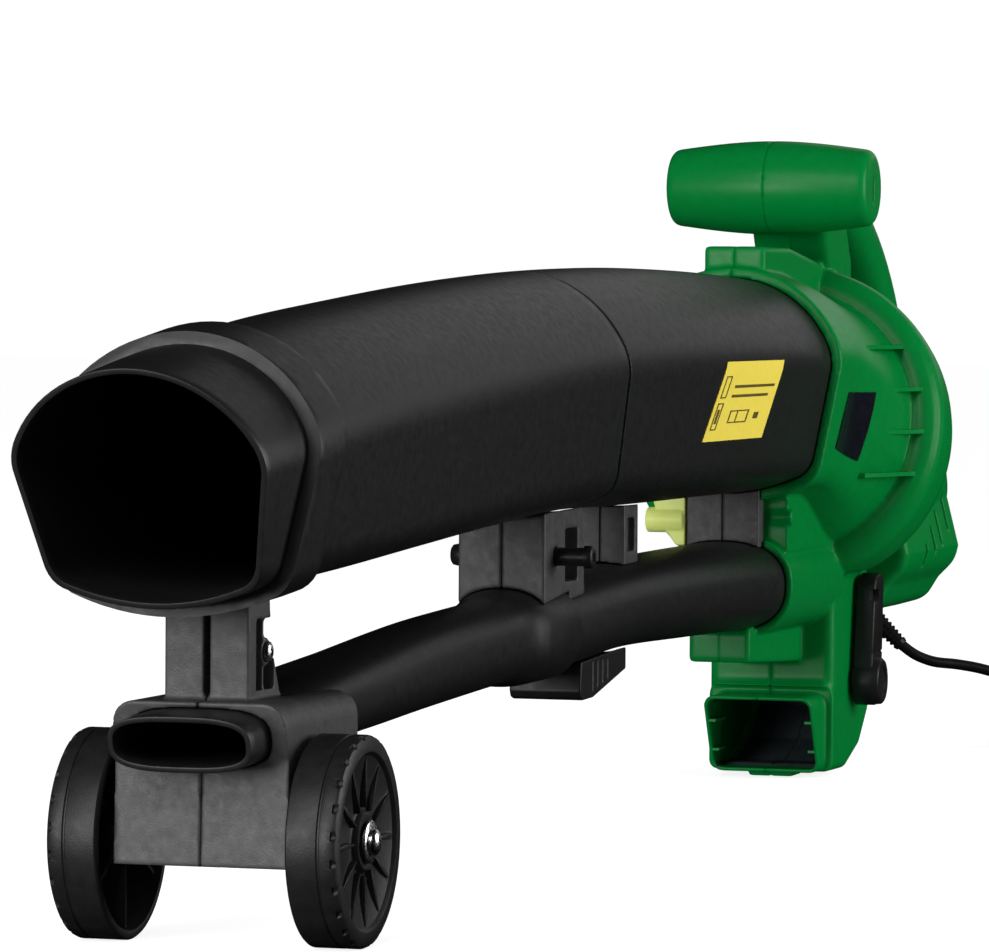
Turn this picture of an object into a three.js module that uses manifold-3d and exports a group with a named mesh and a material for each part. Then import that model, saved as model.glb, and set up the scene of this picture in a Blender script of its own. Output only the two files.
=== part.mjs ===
// Leaf vacuum mulcher, a hand-held garden machine resting on its two wheels and its outlet foot.
// Millimetres. +X points to the suction mouth, +Y to the operator's left, +Z up, floor at Z = 0.
// Every station below is measured from the wheel axle, and the whole machine is shifted at the end.
import * as THREE from 'three';
import { mergeVertices } from 'three/addons/utils/BufferGeometryUtils.js';
import Module from 'manifold-3d';

const wasm = await Module();
wasm.setup();

// ---- driving dimensions ----
const GAP = 0.3;
const AXLE_TO_CENTRE = 552.6;
const WHEEL = { radius: 45, inner: 41.5, outer: 64, bore: 8, axleHeight: 45 };
const TUBE_WALL = 2.6;
const OVAL_POINTS = 22;
const FAN = { x: -988, z: 195.5, tilt: THREE.MathUtils.degToRad(11.3), radius: 93, chamber: 86 };
const HANDLE = { x: -930.6, z: 336, radius: 26.6, endRadius: 22, halfLength: 58.6 };
const GRIP = { halfWidth: 18, halfHeight: 16, wall: 3.4 };
const CHUTE = { halfWidth: 36.5, wall: 3 };
const LEVER = { x: -983, z: 53, inner: 38.6, outer: 50 };
const CORD = { diameter: 6.5 };
const RELIEF = { top: [-1198.1, -13.5, 87.9], tip: [-1200, 13.6, 62] };

// The suction tube's stations: top of the section, bottom of the section, half width.
const SUCTION = [
  { top: [124.2, 244.3], bottom: [84.4, 145.4], half: 55.5 },
  { top: [54, 253.6], bottom: [14, 149.2], half: 57 },
  { top: [-40, 264.0], bottom: [-75, 152.5], half: 57 },
  { top: [-163, 273.0], bottom: [-190, 157.8], half: 56.6 },
  { top: [-297, 281.0], bottom: [-318, 163.5], half: 56.2 },
  { top: [-427, 286.2], bottom: [-446, 167.5], half: 56.4 },
  { top: [-570, 288.6], bottom: [-577, 166.4], half: 57.6 },
  { top: [-727, 287.4], bottom: [-722, 166.0], half: 58.6 },
  { top: [-838, 284.2], bottom: [-826, 165.8], half: 59.1 },
  { top: [-900, 282.0], bottom: [-886, 165.7], half: 59.1 },
];
// The blower tube's stations: distance along X, centre height, half width, half height.
const BLOWER = [
  { x: 58, z: 88.0, width: 31.5, height: 11.8 },
  { x: 20, z: 89.8, width: 30.5, height: 12.8 },
  { x: -60, z: 93.2, width: 27, height: 15.6 },
  { x: -150, z: 97.2, width: 23.5, height: 18.4 },
  { x: -260, z: 103.0, width: 21.8, height: 20.2 },
  { x: -400, z: 107.8, width: 23.2, height: 20.4 },
  { x: -450, z: 109.6, width: 27.0, height: 21.4 },
  { x: -560, z: 114.8, width: 30.0, height: 21.6 },
  { x: -700, z: 115.0, width: 32.2, height: 23.4 },
  { x: -838, z: 113.9, width: 34, height: 24.8 },
  { x: -900, z: 113.9, width: 34, height: 24.8 },
];

// Profiles about the shaft as [x, radius], with x measured forward from the fan's middle.
const DRUM = [[36, 0], [36, 82], [33, 89], [26, FAN.radius], [8, 92.5], [-10, 90], [-22, 87], [-30, 82],
  [-36, 75], [-40, 62], [-160, 54], [-190, 48], [-200, 46], [-214, 42], [-228, 36], [-238, 26], [-243, 16], [-243, 0]];
const CHAMBER = [[30, 0], [30, FAN.chamber], [8, FAN.chamber], [-10, 84], [-20, 81], [-27, 76.5], [-31, 70],
  [-31, 0]];
const MOTOR_SPACE = [[-39.3, 0], [-39.3, 57], [-160, 50.4], [-196, 43], [-210, 39], [-226, 31], [-238.5, 18],
  [-238.5, 0]];
// The vent hood under the motor: its section as [y, z] from the right bottom round to the left top.
const HOOD = { front: -1020, rear: -1158, wall: 3.4,
  half: [[22, 88], [40, 93], [48, 106], [58, 116], [60, 125], [50, 165]] };
const VENT_SLOTS = [[-1136.5, 135, 157], [-1112, 127, 147], [-1092.5, 122, 138], [-1070.5, 115, 128.5]];

// ---- materials ----
function paint(color, roughness, metalness = 0) {
  return new THREE.MeshStandardMaterial({ color, roughness, metalness });
}
const GREEN = paint('#06863a', 0.42);
const BLACK = paint('#1d1d1f', 0.45);
const GRAINED = paint('#2b2b2d', 0.7);
const LIME = paint('#c3d45a', 0.5);
const ZINC = paint('#c9ccd0', 0.35, 1);
const STEEL = paint('#9a9da2', 0.3, 1);
const COPPER = paint('#b0683a', 0.4, 1);
const RUBBER = paint('#141416', 0.85);
const GREY = paint('#6d7073', 0.6);

// ---- solids ----
const machine = new THREE.Group();

// Six times the signed volume of an indexed geometry: negative when its faces point in.
function signedVolume(position, index) {
  const corner = (i) => new THREE.Vector3().fromBufferAttribute(position, index[i]);
  let sum = 0;
  for (let i = 0; i < index.length; i += 3) {
    sum += corner(i).dot(corner(i + 1).cross(corner(i + 2)));
  }
  return sum;
}

// A closed three.js geometry as a manifold body, turned the right way out.
function solid(geometry) {
  const bare = geometry.clone();
  bare.deleteAttribute('normal');
  bare.deleteAttribute('uv');
  const merged = mergeVertices(bare, 1e-4);
  const triangles = new Uint32Array(merged.index.array);
  if (signedVolume(merged.attributes.position, triangles) < 0) triangles.reverse();
  return new wasm.Manifold(new wasm.Mesh({
    numProp: 3,
    vertProperties: new Float32Array(merged.attributes.position.array),
    triVerts: triangles,
  }));
}

function toGeometry(body) {
  const mesh = body.getMesh();
  const geometry = new THREE.BufferGeometry();
  geometry.setAttribute('position', new THREE.BufferAttribute(mesh.vertProperties, 3));
  geometry.setIndex(new THREE.BufferAttribute(mesh.triVerts, 1));
  geometry.computeVertexNormals();
  return geometry;
}

function place(name, shape, material, parent = machine) {
  const geometry = shape.isBufferGeometry ? shape : toGeometry(shape);
  const mesh = new THREE.Mesh(geometry, material.clone());
  mesh.name = name;
  parent.add(mesh);
  return mesh;
}

function union(...bodies) {
  return bodies.reduce((whole, body) => whole.add(body));
}

function box(x0, x1, y0, y1, z0, z1) {
  const geometry = new THREE.BoxGeometry(x1 - x0, y1 - y0, z1 - z0);
  geometry.translate((x0 + x1) / 2, (y0 + y1) / 2, (z0 + z1) / 2);
  return solid(geometry);
}

// A round bar between two points.
function bar(from, to, radius, endRadius = radius, sides = 14) {
  const start = new THREE.Vector3(...from);
  const along = new THREE.Vector3(...to).sub(start);
  const geometry = new THREE.CylinderGeometry(endRadius, radius, along.length(), sides);
  geometry.translate(0, along.length() / 2, 0);
  const up = new THREE.Vector3(0, 1, 0);
  geometry.applyQuaternion(new THREE.Quaternion().setFromUnitVectors(up, along.normalize()));
  geometry.translate(start.x, start.y, start.z);
  return solid(geometry);
}

// A side-view outline of [x, z] points, extruded from y0 to y1.
function slab(outline, y0, y1, bevel = 0) {
  const shape = new THREE.Shape(outline.map(([x, z]) => new THREE.Vector2(x, z)));
  const geometry = new THREE.ExtrudeGeometry(shape, {
    depth: y1 - y0 - 2 * bevel,
    bevelEnabled: bevel > 0,
    bevelThickness: bevel,
    bevelSize: bevel,
    bevelOffset: -bevel,
    bevelSegments: 1,
  });
  geometry.rotateX(Math.PI / 2);
  geometry.translate(0, y1 - bevel, 0);
  return solid(geometry);
}

// A body of revolution about local X, from [x, radius] points.
function turned(profile, sides = 32) {
  const geometry = new THREE.LatheGeometry(profile.map(([x, r]) => new THREE.Vector2(r, x)), sides);
  geometry.rotateZ(-Math.PI / 2);
  return solid(geometry);
}

// A closed skin through rings that all have the same number of points.
function loft(rings) {
  const count = rings[0].length;
  const positions = rings.flat().flatMap((p) => [p.x, p.y, p.z]);
  const triangles = [];
  for (let r = 0; r + 1 < rings.length; r += 1) {
    for (let i = 0; i < count; i += 1) {
      const a = r * count + i;
      const b = r * count + ((i + 1) % count);
      triangles.push(a, b, b + count, a, b + count, a + count);
    }
  }
  [rings[0], rings[rings.length - 1]].forEach((ring, end) => {
    const centre = ring.reduce((sum, p) => sum.add(p), new THREE.Vector3()).divideScalar(count);
    const middle = positions.length / 3;
    positions.push(centre.x, centre.y, centre.z);
    const base = end === 0 ? 0 : (rings.length - 1) * count;
    for (let i = 0; i < count; i += 1) {
      const a = base + i;
      const b = base + ((i + 1) % count);
      triangles.push(...(end === 0 ? [middle, b, a] : [middle, a, b]));
    }
  });
  const geometry = new THREE.BufferGeometry();
  geometry.setAttribute('position', new THREE.Float32BufferAttribute(positions, 3));
  geometry.setIndex(triangles);
  return solid(geometry);
}

// ---- tube sections ----
// The suction tube's section as an arch: [y, h] with h measured down from the top.
// The round top meets straight sides that lean in to a shallow bottom.
function archOutline(half, height) {
  const unit = { half: 55.5, height: 106.8, arc: 58.5, side: 40, low: 91, lowHalf: 46.6, sag: 7.6 };
  const points = [];
  const widest = Math.asin(unit.half / unit.arc);
  const steps = 6;
  for (let i = 0; i <= steps; i += 1) {
    const a = (widest * i) / steps;
    points.push([unit.arc * Math.sin(a), unit.arc * (1 - Math.cos(a))]);
  }
  points.push([unit.half - 0.7, unit.side + 5.5]);
  points.push([unit.lowHalf + 0.6, unit.low - 3]);
  points.push([unit.lowHalf - 5.5, unit.low + 5.6]);
  points.push([unit.lowHalf - 24, unit.height - unit.sag * 0.26]);
  points.push([0, unit.height]);
  const mirrored = points.slice(1, -1).reverse().map(([y, h]) => [-y, h]);
  return [...points, ...mirrored].map(([y, h]) => [(y / unit.half) * half, (h / unit.height) * height]);
}

function suctionSpline(pick) {
  return new THREE.CatmullRomCurve3(SUCTION.map(pick), false, 'centripetal');
}
const tubeTop = suctionSpline((s) => new THREE.Vector3(s.top[0], s.half, s.top[1]));
const tubeBottom = suctionSpline((s) => new THREE.Vector3(s.bottom[0], 0, s.bottom[1]));

// One ring of the suction tube; t runs over the stations, grow moves the wall outward.
// Past either end the ring carries on straight along X.
function archRing(t, grow = 0) {
  const wanted = t / (SUCTION.length - 1);
  const u = THREE.MathUtils.clamp(wanted, 0, 1);
  const past = new THREE.Vector3((u - wanted) * 1000, 0, 0);
  const top = tubeTop.getPoint(u);
  const half = top.y + grow;
  top.y = 0;
  const bottom = tubeBottom.getPoint(u);
  const down = bottom.clone().sub(top);
  const height = down.length();
  down.normalize();
  const start = top.clone().addScaledVector(down, -grow).add(past);
  return archOutline(half, height + 2 * grow)
    .map(([y, h]) => start.clone().addScaledVector(down, h).add(new THREE.Vector3(0, y, 0)));
}

function arch(t0, t1, grow, steps = 1) {
  const rings = [];
  for (let i = 0; i <= steps; i += 1) {
    rings.push(archRing(t0 + ((t1 - t0) * i) / steps, grow));
  }
  return loft(rings);
}

// The blower tube's rounded section at x: a superellipse that is round at the back.
const blowerLine = new THREE.CatmullRomCurve3(
  BLOWER.map((s) => new THREE.Vector3(s.x, 0, s.z)), false, 'centripetal');
const blowerSize = new THREE.CatmullRomCurve3(
  BLOWER.map((s) => new THREE.Vector3(s.x, s.width, s.height)), false, 'centripetal');

function blowerAt(x) {
  let low = 0;
  let high = 1;
  for (let i = 0; i < 30; i += 1) {
    const middle = (low + high) / 2;
    if (blowerLine.getPoint(middle).x > x) low = middle;
    else high = middle;
  }
  const size = blowerSize.getPoint(low);
  return { z: blowerLine.getPoint(low).z, width: size.y, height: size.z };
}

function blowerRing(x, grow = 0, lean = 0) {
  const s = blowerAt(x);
  const power = 2 / 2.5;
  const ring = [];
  for (let i = 0; i < OVAL_POINTS; i += 1) {
    const a = (2 * Math.PI * i) / OVAL_POINTS;
    const y = Math.sign(Math.sin(a)) * Math.abs(Math.sin(a)) ** power * (s.width + grow);
    const up = Math.sign(Math.cos(a)) * Math.abs(Math.cos(a)) ** power * (s.height + grow);
    ring.push(new THREE.Vector3(x + up * lean, y, s.z + up));
  }
  return ring;
}

function oval(x0, x1, grow, steps = 1, frontLean = 0) {
  const rings = [];
  for (let i = 0; i <= steps; i += 1) {
    rings.push(blowerRing(x0 + ((x1 - x0) * i) / steps, grow, i === 0 ? frontLean : 0));
  }
  return loft(rings);
}

// ---- tubes ----
const JOINT = 4.96;
const BAND = { height: 5.4, outline: [[71, 110], [49, 290], [17, 290], [38, 110]] };
const NOZZLE_LEAN = Math.tan(THREE.MathUtils.degToRad(14.4));

// The raised band behind the mouth stands nearly upright, while the mouth itself leans.
function frontBand(grow) {
  const spare = grow - BAND.height;
  const outline = BAND.outline.map(([x, z], i) => [x + (i < 2 ? spare : -spare), z]);
  return arch(0.1, 1.5, grow, 3).intersect(slab(outline, -80, 80));
}

function suctionTubes() {
  const overlap = 4.5;
  const shell = arch(0, JOINT, 0, 7).add(frontBand(BAND.height));
  const bore = arch(-0.02, 0.06, -TUBE_WALL, 1).add(arch(0, 5.2, -TUBE_WALL, 7));
  place('suction_tube_front', shell.subtract(bore), BLACK);
  const sleeve = TUBE_WALL + 0.7;
  const rear = arch(overlap, 4.99, -sleeve, 2).add(arch(4.985, 8.62, 0, 5));
  const inside = arch(overlap - 0.1, 5.03, -sleeve - TUBE_WALL, 2).add(arch(5.02, 8.9, -TUBE_WALL, 5));
  place('suction_tube_rear', rear.subtract(inside), BLACK);
}

function blowerTubes() {
  const front = oval(BLOWER[0].x, -432, 0, 6, NOZZLE_LEAN).add(oval(-392, -440, 3.4, 3));
  const bore = oval(BLOWER[0].x + 6, -424, -2.4, 6, NOZZLE_LEAN).add(oval(-400, -445, 0.5, 3));
  place('blower_tube_front', front.subtract(bore), BLACK);
  const rear = oval(-404, -882, 0, 6).subtract(oval(-400, -886, -2.4, 6));
  place('blower_tube_rear', rear, BLACK);
}

// ---- webs and struts between the tubes ----
function halves(body, left, right, material, seam = GAP / 2) {
  place(left, body.intersect(box(-2000, 500, seam, 400, -50, 600)), material);
  place(right, body.intersect(box(-2000, 500, -400, -seam, -50, 600)), material);
}

const CLEAR_OF_TUBES = () => union(arch(0, 8.62, GAP + 0.4, 10), frontBand(BAND.height + 0.4),
  oval(62, -884, GAP + 0.5, 10), oval(-390, -442, 3.7, 3));

function web(name, front, depth, halfWidth) {
  const plate = box(front - depth, front, -halfWidth, halfWidth, 128, 172);
  const groove = box(front - 2, front + 1, -1, 1, 120, 180);
  const pocket = box(front - depth + 6, front - 6, halfWidth - 4, halfWidth + 1, 143, 160);
  const mirrored = box(front - depth + 6, front - 6, -halfWidth - 1, 4 - halfWidth, 143, 160);
  place(name, plate.subtract(groove).subtract(pocket).subtract(mirrored).subtract(CLEAR_OF_TUBES()), GRAINED);
}

const PIN = { x: -420, z: 147, radius: 4.5 };

function midStrut() {
  const outline = [[-400, 112], [-400, 178], [-466, 178], [-472, 112]];
  const block = slab(outline, -22, 22);
  const seat = bar([PIN.x, -40, PIN.z], [PIN.x, 40, PIN.z], PIN.radius + 0.4);
  const recess = union(box(-458, -436, 15, 30, 134, 160), box(-458, -436, -30, -15, 134, 160));
  halves(block.subtract(seat).subtract(recess).subtract(CLEAR_OF_TUBES()),
    'mid_strut_left', 'mid_strut_right', GRAINED);
  const rod = bar([PIN.x, -24, PIN.z], [PIN.x, 40, PIN.z], PIN.radius);
  const knob = bar([PIN.x, -31, PIN.z], [PIN.x, -22.4, PIN.z], 5, 6.4);
  const collar = bar([PIN.x, 36.5, PIN.z], [PIN.x, 41, PIN.z], 5.6, 5.2);
  place('lock_pin', union(rod, knob, collar), BLACK);
}

function bagHook() {
  const outer = [[-478, 92], [-476, 77], [-482, 72.6], [-500, 73], [-560, 84], [-560, 98], [-478, 98]];
  const inner = [[-483, 86], [-482, 78], [-498, 76.5], [-565, 88], [-565, 91]];
  const body = slab(outer, -18.5, 18.5).subtract(slab(inner, -15.5, 15.5))
    .subtract(oval(-470, -570, GAP + 0.7, 4));
  place('bag_hook', body, BLACK);
}

// ---- wheel carrier ----
function roundedBlock(x0, x1, halfWidth, z0, z1, corner) {
  const shape = new THREE.Shape();
  shape.moveTo(-halfWidth, z0);
  shape.lineTo(halfWidth, z0);
  shape.lineTo(halfWidth, z1 - corner);
  shape.absarc(halfWidth - corner, z1 - corner, corner, 0, Math.PI / 2);
  shape.lineTo(-halfWidth + corner, z1);
  shape.absarc(-halfWidth + corner, z1 - corner, corner, Math.PI / 2, Math.PI);
  const settings = { depth: x1 - x0, bevelEnabled: false, curveSegments: 5 };
  const geometry = new THREE.ExtrudeGeometry(shape, settings);
  geometry.rotateX(Math.PI / 2);
  geometry.rotateZ(Math.PI / 2);
  geometry.translate(x0, 0, 0);
  return solid(geometry);
}

const STRUT_SCREW = { x: 2, z: 124 };

function wheelCarrier() {
  const trim = slab([[32, 30], [30, 80], [36, 104], [25, 116], [22, 170], [-70, 170], [-70, 82], [-34, 66],
    [-30, 30]], -45, 45);
  const block = roundedBlock(-62, 38, 38.5, 35.2, 104.4, 10).intersect(trim);
  const strut = slab([[24.5, 98], [24.5, 165], [0, 165], [-6, 126], [-20, 98]], -18.6, 18.6);
  const slot = slab([[30, 106], [30, 170], [17, 170], [12, 106]], -1.4, 1.4);
  const recess = union(box(-8, 14, 12, 30, 108, 138), box(-8, 14, -30, -12, 108, 138))
    .subtract(bar([STRUT_SCREW.x, -25, STRUT_SCREW.z], [STRUT_SCREW.x, 25, STRUT_SCREW.z], 6));
  const hollow = box(-80, 24, -34.5, 34.5, 39, 70);
  const onAxle = (reach, radius) => bar([0, -reach, WHEEL.axleHeight], [0, reach, WHEEL.axleHeight],
    radius, radius, 20);
  const stubs = onAxle(60, WHEEL.bore - 0.5);
  const shoulders = onAxle(40.9, 13);
  const drill = onAxle(80, 2.6);
  const screwHole = bar([STRUT_SCREW.x, -30, STRUT_SCREW.z], [STRUT_SCREW.x, 30, STRUT_SCREW.z], 2.3);
  const body = block.subtract(hollow).add(strut.subtract(slot).subtract(recess)).add(stubs).add(shoulders)
    .subtract(drill).subtract(screwHole).subtract(CLEAR_OF_TUBES());
  halves(body, 'wheel_carrier_left', 'wheel_carrier_right', GRAINED);
  const head = bar([STRUT_SCREW.x, 18.9, STRUT_SCREW.z], [STRUT_SCREW.x, 21.4, STRUT_SCREW.z], 4.4, 3.4);
  const shank = bar([STRUT_SCREW.x, -12, STRUT_SCREW.z], [STRUT_SCREW.x, 19, STRUT_SCREW.z], 2);
  place('carrier_screw', head.add(shank), STEEL);
}

function wheelShape() {
  const { radius, inner, outer, bore } = WHEEL;
  const profile = [[inner, radius - 4], [inner, radius - 0.8], [inner + 1, radius], [outer - 2, radius],
    [outer, radius - 2.2], [outer, radius - 7], [outer - 1.2, radius - 8], [outer - 4.5, 14], [outer - 1, 12],
    [outer - 1, bore], [inner + 1, bore], [inner + 1, 12], [outer - 8, 13], [outer - 6.5, radius - 6],
    [inner, radius - 4]];
  const ribs = [];
  const count = 6;
  for (let i = 0; i < count; i += 1) {
    const rib = new THREE.BoxGeometry(outer - inner - 9, radius - 17, 1.6);
    rib.translate((outer + inner) / 2 - 2, (radius + 9) / 2, 0);
    rib.rotateX((2 * Math.PI * i) / count);
    ribs.push(solid(rib));
  }
  return union(turned(profile, 32), ...ribs);
}

function alongY(body, side) {
  const geometry = toGeometry(body);
  geometry.rotateZ(side * Math.PI / 2);
  geometry.translate(0, 0, WHEEL.axleHeight);
  return geometry;
}

function wheels() {
  const wheel = wheelShape();
  const washer = turned([[64, 3], [65.2, 3], [65.2, 9], [64, 9], [64, 3]], 16);
  const screw = turned([[45, 0], [45, 2.3], [65.5, 2.3], [65.5, 5.6], [67.2, 5.6], [68.8, 3.6], [69, 0]], 14);
  [['left', 1], ['right', -1]].forEach(([side, sign]) => {
    place(`wheel_${side}`, alongY(wheel, sign), BLACK);
    place(`wheel_washer_${side}`, alongY(washer, sign), ZINC);
    place(`wheel_screw_${side}`, alongY(screw, sign), ZINC);
  });
}

// ---- fan and motor, in a frame whose X runs along the tilted shaft ----
const fanFrame = new THREE.Matrix4().makeRotationY(-FAN.tilt).setPosition(FAN.x, 0, FAN.z);
const shaftLine = new THREE.Group();
shaftLine.applyMatrix4(fanFrame);
machine.add(shaftLine);

function tilted(body) {
  return solid(toGeometry(body).applyMatrix4(fanFrame));
}

function fanAndMotor() {
  const shaft = turned([[-222, 0], [-222, 4], [24, 4], [24, 0]], 14);
  place('motor_shaft', shaft, STEEL, shaftLine);
  const disc = turned([[-27, 4.3], [-27, 72], [-24.5, 72], [-22, 16], [9, 13], [9, 4.3], [-27, 4.3]], 32);
  const blades = [];
  const count = 8;
  for (let i = 0; i < count; i += 1) {
    const blade = new THREE.BoxGeometry(36, 60, 2.4);
    blade.translate(-8, 44, 0);
    blade.rotateX((2 * Math.PI * i) / count);
    blades.push(solid(blade));
  }
  const rim = turned([[6, 72.5], [10, 72.5], [10, 77], [4, 77], [4, 72.5], [6, 72.5]], 32);
  place('impeller', union(disc, ...blades, rim), GREY, shaftLine);
  place('impeller_nut', turned([[9.3, 4.9], [9.3, 8], [16, 8], [16, 4.9], [9.3, 4.9]], 6), ZINC, shaftLine);
  place('motor_armature', turned([[-150, 4.3], [-150, 20], [-142, 23], [-84, 23], [-76, 20], [-76, 4.3],
    [-150, 4.3]], 20), COPPER, shaftLine);
  place('motor_commutator', turned([[-178, 4.3], [-178, 12], [-158, 12], [-158, 4.3], [-178, 4.3]], 16),
    COPPER, shaftLine);
  place('motor_stator', turned([[-136, 24.4], [-136, 42], [-90, 42], [-90, 24.4], [-136, 24.4]], 24), STEEL,
    shaftLine);
  [['front', -39], ['rear', -216]].forEach(([end, x]) => {
    const race = [[x, 4.3], [x, 11], [x + 8, 11], [x + 8, 4.3], [x, 4.3]];
    place(`motor_bearing_${end}`, turned(race, 16), STEEL, shaftLine);
  });
  [['upper', 1], ['lower', -1]].forEach(([side, sign]) => {
    const brush = new THREE.BoxGeometry(8, 6, 18);
    brush.translate(-168, 0, sign * 21.6);
    place(`motor_brush_${side}`, solid(brush), RUBBER, shaftLine);
  });
}

// ---- housing ----
const gripLine = new THREE.CatmullRomCurve3([[-948, 328], [-1000, 333], [-1050, 329], [-1095, 314],
  [-1136, 290], [-1168, 260], [-1186, 228], [-1190, 192]].map(([x, z]) => new THREE.Vector3(x, 0, z)));

function gripOutline(halfHeight, from = 0, to = 1) {
  const upper = [];
  const lower = [];
  const steps = 8;
  for (let i = 0; i <= steps; i += 1) {
    const u = from + ((to - from) * i) / steps;
    const p = gripLine.getPoint(u);
    const t = gripLine.getTangent(u);
    upper.push([p.x + t.z * halfHeight, p.z - t.x * halfHeight]);
    lower.push([p.x - t.z * halfHeight, p.z + t.x * halfHeight]);
  }
  return [...lower, ...upper.reverse()];
}

const CHUTE_OUTLINE = [[-933, 128], [-933, 52], [-900, 47.6], [-922, 3.6], [-968, 3.2], [-1001, 14],
  [-1023, 33], [-1030, 60], [-1024, 100], [-1012, 128]];
const CHUTE_INSIDE = [[-936.5, 135], [-936.5, 49], [-895, 43.6], [-915, 8], [-967, 6.6], [-999, 17],
  [-1020, 35], [-1026.5, 60], [-1020.5, 100], [-1008, 135]];
const NECK_OUTLINE = [[-945, 330], [-968, 309], [-986, 277], [-990, 250], [-1032, 250], [-1030, 296],
  [-1016, 318], [-1000, 336]];
const TOP_BLOCK = [[-843, 276], [-843, 302], [-902, 302], [-990, 292], [-1000, 262], [-850, 262]];
const LOW_BLOCK = [[-816, 72], [-816, 88.6], [-824, 96], [-940, 96], [-940, 66]];

function barrel(grow) {
  const { radius, endRadius, halfLength } = HANDLE;
  const end = halfLength + grow;
  const half = [[end, 0], [end, endRadius - 3 + grow], [end - 2, endRadius + grow], [30, radius - 1.2 + grow]];
  const profile = [...half.map(([y, r]) => [-y, r]), [0, radius + grow], ...half.reverse()];
  const geometry = toGeometry(turned(profile, 24));
  geometry.rotateZ(Math.PI / 2);
  geometry.translate(HANDLE.x, 0, HANDLE.z);
  return solid(geometry);
}

// Rings that pass from the arch section to a circle about the shaft.
function inletRings(startT, grow, shaftX, radius) {
  const ring = archRing(startT, grow);
  const centre = new THREE.Vector3(0, 0, 225);
  const circle = ring.map((p) => {
    const a = Math.atan2(p.y, p.z - centre.z);
    return new THREE.Vector3(shaftX, radius * Math.sin(a), radius * Math.cos(a)).applyMatrix4(fanFrame);
  });
  const steps = 4;
  return Array.from({ length: steps + 1 }, (_, i) => {
    const s = i / steps;
    const ease = s * s * (3 - 2 * s);
    return ring.map((p, k) => {
      const q = circle[k];
      return new THREE.Vector3(p.x + (q.x - p.x) * s, p.y + (q.y - p.y) * ease, p.z + (q.z - p.z) * ease);
    });
  });
}

function gussets() {
  const levels = [246, 222, 198, 174];
  return union(...levels.flatMap((z) => [1, -1].map((side) => {
    const reach = Math.sqrt((FAN.radius - 7) ** 2 - (z - FAN.z) ** 2);
    const shape = new THREE.Shape([[-898, 50], [-898, 64], [-960, reach], [-966, reach], [-966, 50]]
      .map(([x, y]) => new THREE.Vector2(x, side * y)));
    const geometry = new THREE.ExtrudeGeometry(shape, { depth: 2.4, bevelEnabled: false });
    geometry.translate(0, 0, z - 1.2);
    return solid(geometry);
  })));
}

// The hood under the motor, and, with its wall taken off, the space inside it.
function hood(wall = 0) {
  const right = HOOD.half.map(([y, z]) => [y - wall, Math.max(z, 88 + wall)]);
  const ring = [...right, ...right.map(([y, z]) => [-y, z]).reverse()];
  const ends = wall > 0 ? [-1037, HOOD.rear + wall] : [HOOD.front, HOOD.rear];
  return loft(ends.map((x) => ring.map(([y, z]) => new THREE.Vector3(x, y, z))));
}

function vents() {
  const halfWidth = 2.6;
  return union(...VENT_SLOTS.flatMap(([x, low, high]) => [
    box(x - halfWidth, x + halfWidth, 40, 70, low, high),
    box(x - halfWidth, x + halfWidth, -70, -40, low, high),
  ]));
}

const HOUSING_SCREWS = [[-862, 290], [-1003, 283], [-1150, 278], [-905, 84]];
const WEB_SEAT = () => box(-834.4, -820, -20.8, 20.8, 135, 170);
const LATCH_SEAT = () => box(-833.4, -820, -44.4, -21.3, 135.4, 168);
const LEVER_POCKET = () => box(-1012, -958, LEVER.inner - 0.9, 60, 80, 117);

function housingOutside() {
  const drum = tilted(turned(DRUM, 32));
  const collar = arch(7.98, 8.5, 6.2, 1);
  const shroud = loft(inletRings(8.45, 6.2, 34, 76));
  const fairing = oval(-829, -950, 4.2, 2);
  const sideWeb = box(-950, -835, -16.8, 33.7, 133, 170);
  const chute = slab(CHUTE_OUTLINE, -CHUTE.halfWidth, CHUTE.halfWidth);
  const outletCut = union(box(-932.9, -890, 32, 50, 0, 52), box(-932.9, -890, -50, -32, 0, 52));
  const foot = slab([[-928, 12], [-934, 0], [-956, 0], [-962, 12]], -13, 13);
  const cordBoss = bar([-1195, -3, 124], [-1198, -14, 86], 10, 9.5);
  const neck = slab(NECK_OUTLINE, -23, 23, 3);
  const grip = slab(gripOutline(GRIP.halfHeight), -GRIP.halfWidth, GRIP.halfWidth, 6);
  return union(drum, hood(), collar, shroud, fairing, sideWeb, chute.subtract(outletCut), foot, neck, grip,
    barrel(0), cordBoss, slab(TOP_BLOCK, -17.5, 17.5), slab(LOW_BLOCK, -17.5, 17.5), gussets())
    .subtract(LEVER_POCKET());
}

function housingInside() {
  const pocketWall = box(-1016, -954, LEVER.inner - 4, 70, 70, 121);
  const chamberVoid = tilted(turned(CHAMBER, 32)).subtract(pocketWall);
  const bearingSeat = tilted(turned([[-30, 0], [-30, 11.3], [-40, 11.3], [-40, 0]], 16));
  const motorVoid = tilted(turned(MOTOR_SPACE, 28)).add(hood(HOOD.wall));
  const socket = arch(7.9, 8.68, 0.4, 1);
  const inlet = loft(inletRings(8.6, -4, 29, 56));
  const blowerSocket = oval(-826, -888, 0.4, 1).add(oval(-880, -945, -2.4, 1));
  const chute = slab(CHUTE_INSIDE, CHUTE.wall - CHUTE.halfWidth, CHUTE.halfWidth - CHUTE.wall);
  const outletWalls = union(box(-933.5, -880, 28.4, 50, -5, 60), box(-933.5, -880, -50, -28.4, -5, 60));
  const grip = slab(gripOutline(GRIP.halfHeight - GRIP.wall, 0.06, 0.93), GRIP.wall - GRIP.halfWidth,
    GRIP.halfWidth - GRIP.wall);
  const triggerSlot = box(-1086, -1034, -7, 7, 296, 326);
  return union(chamberVoid, bearingSeat, motorVoid, socket, inlet, blowerSocket, grip,
    chute.subtract(outletWalls), barrel(-3.4), triggerSlot, vents());
}

function screwBosses(radius) {
  return union(...HOUSING_SCREWS.map(([x, z]) => bar([x, -15.4, z], [x, 15.4, z], radius, radius, 10)));
}

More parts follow.
